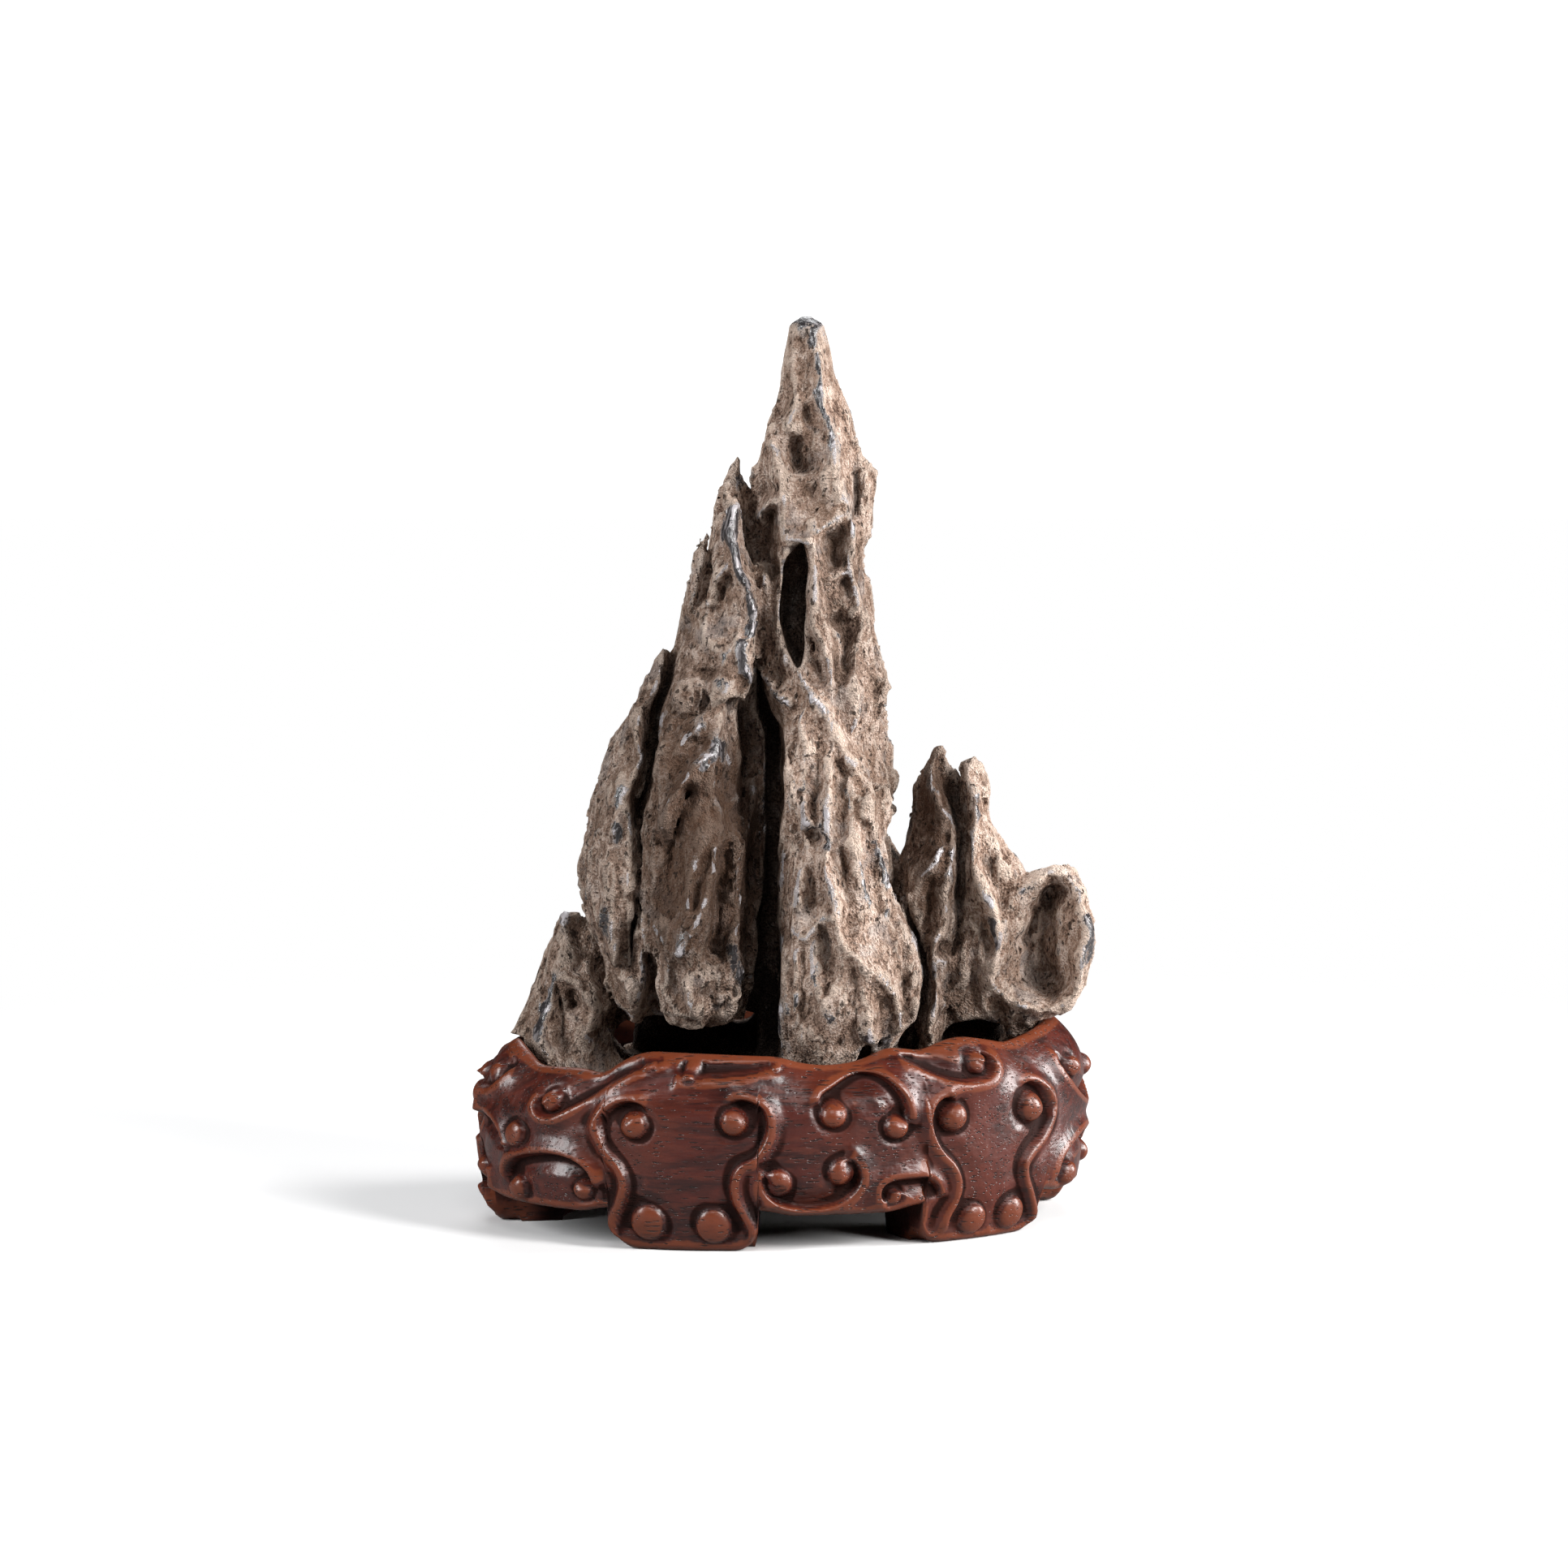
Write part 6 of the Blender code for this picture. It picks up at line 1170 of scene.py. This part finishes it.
class Nodes:
    """Short hands for laying out a material's nodes."""

    def __init__(self, name):
        self.material = bpy.data.materials.new(name)
        self.material.use_nodes = True
        self.tree = self.material.node_tree
        self.shader = self.tree.nodes["Principled BSDF"]
        self.place = self.tree.nodes.new("ShaderNodeTexCoord").outputs["Object"]

    def link(self, source, socket):
        if isinstance(source, (int, float)):
            socket.default_value = source
        elif isinstance(source, tuple):
            socket.default_value = (*source, 1.0)
        else:
            self.tree.links.new(source, socket)

    def node(self, kind, output, **inputs):
        """A new node's output, with its inputs linked or set by name."""
        node = self.tree.nodes.new("ShaderNode" + kind)
        for name, source in inputs.items():
            self.link(source, node.inputs[name.replace("_", " ")])
        return node.outputs[output]

    def stretched(self, x, y, z, turn=0.0):
        node = self.tree.nodes.new("ShaderNodeMapping")
        node.inputs["Scale"].default_value = (x, y, z)
        node.inputs["Rotation"].default_value = (0.0, turn, 0.0)
        self.link(self.place, node.inputs["Vector"])
        return node.outputs["Vector"]

    def noise(self, place, scale, detail=4.0, roughness=0.55, distortion=0.0):
        return self.node("TexNoise", "Fac", Vector=place, Scale=scale, Detail=detail,
                         Roughness=roughness, Distortion=distortion)

    def cells(self, place, scale):
        return self.node("TexVoronoi", "Distance", Vector=place, Scale=scale)

    def ramp(self, value, low, high, start=0.0, end=1.0):
        """An eased change from start at low to end at high."""
        found = self.node("MapRange", "Result", Value=value, From_Min=low, From_Max=high,
                          To_Min=start, To_Max=end)
        found.node.interpolation_type = "SMOOTHSTEP"
        return found

    def math(self, kind, a, b):
        node = self.tree.nodes.new("ShaderNodeMath")
        node.operation = kind
        self.link(a, node.inputs[0])
        self.link(b, node.inputs[1])
        return node.outputs[0]

    def plus(self, a, b):
        return self.math("ADD", a, b)

    def less(self, a, b):
        return self.math("SUBTRACT", a, b)

    def times(self, a, b):
        return self.math("MULTIPLY", a, b)

    def mix(self, share, a, b):
        node = self.tree.nodes.new("ShaderNodeMix")
        node.data_type = "RGBA"
        self.link(share, node.inputs["Factor"])
        self.link(a, node.inputs[MIX_A])
        self.link(b, node.inputs[MIX_B])
        return node.outputs[MIX_RESULT]

    def scaled(self, colour, factor):
        node = self.tree.nodes.new("ShaderNodeVectorMath")
        node.operation = "SCALE"
        self.link(colour, node.inputs[0])
        self.link(factor, node.inputs["Scale"])
        return node.outputs["Vector"]

    def attribute(self, name):
        node = self.tree.nodes.new("ShaderNodeAttribute")
        node.attribute_name = name
        return node.outputs["Fac"]

    def finish(self, colour, roughness, specular, normal):
        """Ties these to the shader and gives the material."""
        self.link(colour, self.shader.inputs["Base Color"])
        self.link(roughness, self.shader.inputs["Roughness"])
        self.link(specular, self.shader.inputs["Specular IOR Level"])
        self.link(normal, self.shader.inputs["Normal"])
        return self.material


# Texture sizes are (scale, detail, roughness, distortion), with the scale in features a metre.
STONE_TEXTURES = {
    "lumps": (190.0, 3.0, 0.6, 0.6), "flakes": (520.0, 3.0, 0.6, 0.5), "sand": (1500.0, 2.0, 0.6, 0.2),
    "clouds": (42.0, 3.0, 0.6), "grey": (75.0, 3.0, 0.7), "holes": (640.0, 2.0, 0.5, 0.3),
    "pitted": (110.0, 2.0, 0.5), "veins": (420.0, 2.0, 0.6, 1.0),
}
# crest is a painted highlight on convex crests, the halo a painted highlight round the gloss and edge a
# painted glint along crest lines; hollow and deep are painted shade in hollows and cuts.
STONE_COLOURS = {
    "low": (0.052, 0.0280, 0.0188), "skin": (0.262, 0.176, 0.132), "high": (0.54, 0.422, 0.356),
    "brown": (0.135, 0.082, 0.054), "grey": (0.26, 0.235, 0.225), "crest": (0.56, 0.455, 0.38),
    "hollow": (0.058, 0.033, 0.0215), "dust": (0.46, 0.39, 0.345), "earth": (0.122, 0.060, 0.034),
    "hole": (0.024, 0.0145, 0.010), "deep": (0.010, 0.0065, 0.005), "halo_highlight": (0.30, 0.265, 0.25),
    "slate": (0.026, 0.023, 0.024), "vein": (0.20, 0.182, 0.186), "edge": (0.47, 0.44, 0.455),
}
STONE_BUMP = 0.0062
UPRIGHT = (1.0, 1.0, 0.6)       # the stone's texture is drawn out upright
FLAKES = (1.0, 1.0, 0.55, 0.3)
HOLES = (1.0, 1.0, 0.7)
VEINS = (1.0, 1.0, 0.3)
GLOSS_RAGGED = 2.4              # how much the stone's texture breaks up the edges of its gloss


def stone_finish():
    """Dusty pitted limestone with dark rubbed gloss, thin worn edges with painted pale glints, painted
    highlights on its crests and round its gloss, and painted shade in its hollows and deep cuts.
    """
    n = Nodes("weathered_stone")
    tint, size = STONE_COLOURS, STONE_TEXTURES
    lumps = n.noise(n.stretched(*UPRIGHT), *size["lumps"])
    flakes = n.noise(n.stretched(*FLAKES), *size["flakes"])
    sand = n.noise(n.place, *size["sand"])
    height = n.plus(n.plus(n.times(flakes, 0.34), n.times(sand, 0.30)), n.times(lumps, 0.36))

    colour = n.mix(n.ramp(height, 0.38, 0.52), tint["low"], tint["skin"])
    colour = n.mix(n.ramp(height, 0.50, 0.61), colour, tint["high"])
    clouds = n.noise(n.place, *size["clouds"])
    colour = n.mix(n.ramp(clouds, 0.46, 0.66, 0.0, 0.45), colour, tint["brown"])
    grey = n.noise(n.place, *size["grey"])
    colour = n.mix(n.ramp(grey, 0.54, 0.68, 0.0, 0.45), colour, tint["grey"])
    # Painted highlight: convex crests are made paler.
    colour = n.mix(n.ramp(n.attribute("crest"), 0.3, 1.0, 0.0, 0.5), colour, tint["crest"])
    # Painted shade: hollows are darkened.
    colour = n.mix(n.ramp(n.attribute("hollow"), 0.15, 0.95, 0.0, 0.5), colour, tint["hollow"])

    # The tone zones scale and tint the colour: partly the stone's own tone, partly painted light, as on the
    # dish's bright inner wall.
    tone = n.attribute("tone")
    gain = n.plus(n.ramp(tone, 0.0, 0.5, 0.39, 1.04), n.ramp(tone, 0.5, 1.0, 0.0, 0.64))
    colour = n.scaled(colour, gain)
    dust = n.times(n.ramp(tone, 0.5, 1.0), n.ramp(height, 0.46, 0.56, 0.0, 0.3))
    colour = n.mix(dust, colour, tint["dust"])
    colour = n.mix(n.times(n.ramp(tone, 0.5, 0.0), 0.5), colour, tint["earth"])

    holes = n.noise(n.stretched(*HOLES), *size["holes"])
    pitted = n.noise(n.place, *size["pitted"])
    pocks = n.times(n.ramp(holes, 0.40, 0.34), n.ramp(pitted, 0.40, 0.56, 0.15, 1.0))
    colour = n.mix(n.times(pocks, 0.85), colour, tint["hole"])
    # Painted shade: the floors and walls of the deep cuts are darkened.
    colour = n.mix(n.times(n.attribute("deep"), 0.90), colour, tint["deep"])
    height = n.less(height, n.times(pocks, 0.16))

    ragged = n.times(n.less(height, 0.5), GLOSS_RAGGED)
    polish = n.plus(n.attribute("polish"), ragged)
    gloss = n.ramp(polish, 0.46, 0.60)
    pale = n.ramp(n.plus(n.attribute("edge"), ragged), 0.42, 0.70)
    # Painted highlight: a paler halo round the rubbed gloss.
    colour = n.mix(n.times(n.ramp(polish, 0.20, 0.42), 0.35), colour, tint["halo_highlight"])
    veins = n.noise(n.stretched(*VEINS), *size["veins"])
    slate = n.mix(n.ramp(veins, 0.50, 0.68), tint["slate"], tint["vein"])
    colour = n.mix(gloss, colour, slate)
    # Painted glint: pale thin lines along the crests, where the gloss also is.
    colour = n.mix(n.times(pale, 0.72), colour, tint["edge"])

    shine = n.math("MAXIMUM", gloss, pale)
    bump = n.node("Bump", "Normal", Distance=STONE_BUMP, Strength=n.ramp(gloss, 0.0, 1.0, 1.0, 0.2),
                  Height=height)
    return n.finish(colour, n.ramp(shine, 0.0, 1.0, 0.88, 0.22), n.ramp(shine, 0.0, 1.0, 0.18, 0.55), bump)


WOOD_TEXTURES = {
    "figure": (150.0, 4.0, 0.6, 0.8), "bands": (560.0, 3.0, 0.6, 0.4), "clouds": (26.0, 3.0, 0.5),
    "sparse": (240.0, 2.0), "haze": (90.0, 4.0, 0.6), "dimples": (260.0, 2.0, 0.5),
}
# worn is partly wear and partly a painted highlight on the carving's crests; the hollows' colour is painted
# shade.
WOOD_COLOURS = {
    "dark": (0.019, 0.0026, 0.0017), "red": (0.058, 0.0080, 0.0042), "band": (0.090, 0.0165, 0.0078),
    "cloud": (0.092, 0.0170, 0.0072), "worn": (0.185, 0.043, 0.0145), "shaded_recess": (0.009, 0.0034, 0.0027),
    "pore": (0.010, 0.004, 0.003),
}
GRAIN = (0.12, 1.0, 1.0, 0.22)  # the figure is drawn out along the stand, and turned a little
PORE_SCALE = 1250.0
WOOD_BUMP = (0.0007, 0.8)       # distance and strength


def wood_finish():
    """Waxed red-brown hardwood with open pores, pale on its crests from wear and a painted highlight, with
    painted shade in its hollows.
    """
    n = Nodes("waxed_hardwood")
    tint, size = WOOD_COLOURS, WOOD_TEXTURES
    worn, shaded_recess = n.attribute("worn"), n.attribute("shaded_recess")
    along = n.stretched(*GRAIN)
    figure = n.noise(along, *size["figure"])
    bands = n.noise(along, *size["bands"])
    clouds = n.noise(n.place, *size["clouds"])
    colour = n.mix(n.ramp(figure, 0.38, 0.62), tint["dark"], tint["red"])
    colour = n.mix(n.ramp(bands, 0.46, 0.64, 0.0, 0.5), colour, tint["band"])
    colour = n.mix(n.ramp(clouds, 0.50, 0.66, 0.0, 0.5), colour, tint["cloud"])
    # Partly wear, partly painted highlight: the carving's crests are made paler and more orange.
    colour = n.mix(n.ramp(worn, 0.5, 1.0, 0.0, 0.55), colour, tint["worn"])
    # Painted shade: the carving's hollows are darkened.
    colour = n.mix(n.ramp(shaded_recess, 0.2, 0.8, 0.0, 0.85), colour, tint["shaded_recess"])

    pores = n.ramp(n.cells(along, PORE_SCALE), 0.34, 0.18)
    dash = n.times(pores, n.ramp(n.noise(n.place, *size["sparse"]), 0.40, 0.52))
    colour = n.mix(n.times(dash, 0.85), colour, tint["pore"])

    haze = n.noise(n.place, *size["haze"])
    rough = n.plus(n.ramp(haze, 0.3, 0.7, 0.31, 0.37), n.times(shaded_recess, 0.35))
    dimples = n.noise(n.place, *size["dimples"])
    height = n.less(n.plus(n.times(dimples, 0.5), n.times(bands, 0.25)), n.times(dash, 0.35))
    distance, strength = WOOD_BUMP
    bump = n.node("Bump", "Normal", Distance=distance, Strength=strength, Height=height)
    return n.finish(colour, rough, n.ramp(shaded_recess, 0.1, 0.7, 0.52, 0.10), bump)


FLOOR_FADE = (0.16, 0.55)       # distances between which the paper turns into plain white
FLOOR_WHITE = 0.86
FLOOR_BOUNCE = 0.3              # how much light the floor throws back up
FLOOR_ROUGHNESS = 0.9
FLOOR_SPECULAR = 0.1
FLOOR_REACH = 6.0


def floor_finish():
    """White paper near the object that turns into a plain white ground further off."""
    n = Nodes("pale_floor")
    n.shader.inputs["Roughness"].default_value = FLOOR_ROUGHNESS
    n.shader.inputs["Specular IOR Level"].default_value = FLOOR_SPECULAR
    away = n.tree.nodes.new("ShaderNodeVectorMath")
    away.operation = "LENGTH"
    n.link(n.place, away.inputs[0])
    seen = n.node("LightPath", "Is Camera Ray")
    n.link(n.ramp(seen, 0.0, 1.0, FLOOR_BOUNCE, FLOOR_WHITE), n.shader.inputs["Base Color"])
    blend = n.tree.nodes.new("ShaderNodeMixShader")
    n.link(n.times(n.ramp(away.outputs["Value"], *FLOOR_FADE), seen), blend.inputs[0])
    n.link(n.shader.outputs[0], blend.inputs[1])
    n.link(n.node("Emission", "Emission"), blend.inputs[2])
    n.link(blend.outputs[0], n.tree.nodes["Material Output"].inputs["Surface"])
    return n.material


# ---------------------------------------------------------------- pieces
def make_rock():
    values, lows = sample_field(make_rock_field(), ROCK_STEP)
    points, faces = largest_body(*iso_surface(values, lows, ROCK_STEP))
    rock = mesh_object("rock_surface", points, faces, stone_finish())
    reduce_mesh(rock, ROCK_TRIANGLES)
    dress_rock(rock)
    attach(rock, "root")
    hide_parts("rock")


def make_stand():
    points, faces = stand_mesh(STAND_COLUMNS, STAND_WALL_ROWS)
    stand = mesh_object("stand_carving", points, faces, wood_finish())
    dress_stand(stand)
    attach(stand, "root")
    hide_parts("stand")


def make_floor():
    mesh = bpy.data.meshes.new("floor")
    corners = [(-1, -1, 0), (1, -1, 0), (1, 1, 0), (-1, 1, 0)]
    mesh.from_pydata([Vector(corner) * FLOOR_REACH for corner in corners], [], [(0, 1, 2, 3)])
    mesh.materials.append(floor_finish())
    floor = bpy.data.objects.new("floor", mesh)
    bpy.context.scene.collection.objects.link(floor)


# ---------------------------------------------------------------- camera and light
CAMERA_PITCH = np.radians(5.5)
CAMERA_PLACE = (0.0, -1.2983487, 0.25557347)
CAMERA_LENS = 100.0
CAMERA_SENSOR = 36.0


def make_camera():
    camera = bpy.data.objects.new("camera", bpy.data.cameras.new("camera"))
    camera.data.lens = CAMERA_LENS
    camera.data.sensor_width = CAMERA_SENSOR
    camera.location = CAMERA_PLACE
    camera.rotation_euler = (np.pi / 2 - CAMERA_PITCH, 0.0, 0.0)
    bpy.context.scene.collection.objects.link(camera)
    bpy.context.scene.camera = camera


# Soft boxes: (name, place, point it faces, width, height, watts, colour).
LIGHTS = [
    ("left_front", (-1.15, -0.65, 0.70), (0, 0, 0.11), 0.3, 0.8, 20.0, (0.98, 0.99, 1.0)),
    ("right_front", (1.1, -0.85, 0.80), (0, 0, 0.11), 0.4, 0.8, 31.0, (1.0, 0.99, 0.985)),
    ("right", (1.45, 0.05, 0.45), (0, 0, 0.10), 0.4, 0.9, 36.0, (1.0, 0.99, 0.985)),
    ("front", (0.0, -1.1, 1.2), (0, 0, 0.11), 0.5, 0.4, 4.5, (1.0, 0.985, 0.975)),
    ("back", (0.0, 1.0, 1.1), (0, 0, 0.12), 0.9, 0.5, 8.0, (0.97, 0.98, 1.0)),
]
SURROUND = 0.02                 # how much light the backdrop gives
BACKDROP = 1.2                  # how bright it looks


def make_light():
    for name, place, aim, width, height, watts, colour in LIGHTS:
        data = bpy.data.lights.new(name, "AREA")
        data.shape = "RECTANGLE"
        data.size = width
        data.size_y = height
        data.energy = watts
        data.color = colour
        lamp = bpy.data.objects.new(name, data)
        lamp.location = place
        lamp.rotation_euler = (Vector(aim) - Vector(place)).to_track_quat("-Z", "Y").to_euler()
        bpy.context.scene.collection.objects.link(lamp)


def make_surround():
    """A plain white backdrop that lights the scene only softly."""
    world = bpy.data.worlds.new("surround")
    bpy.context.scene.world = world
    world.use_nodes = True
    tree = world.node_tree
    background = tree.nodes["Background"]
    seen = tree.nodes.new("ShaderNodeLightPath").outputs["Is Camera Ray"]
    strength = tree.nodes.new("ShaderNodeMapRange")
    strength.inputs["To Min"].default_value = SURROUND
    strength.inputs["To Max"].default_value = BACKDROP
    tree.links.new(seen, strength.inputs["Value"])
    background.inputs["Color"].default_value = (1.0, 1.0, 1.0, 1.0)
    tree.links.new(strength.outputs["Result"], background.inputs["Strength"])
    bpy.context.scene.view_settings.view_transform = "Standard"


make_camera()
make_surround()
make_light()
make_floor()
make_rock()
make_stand()
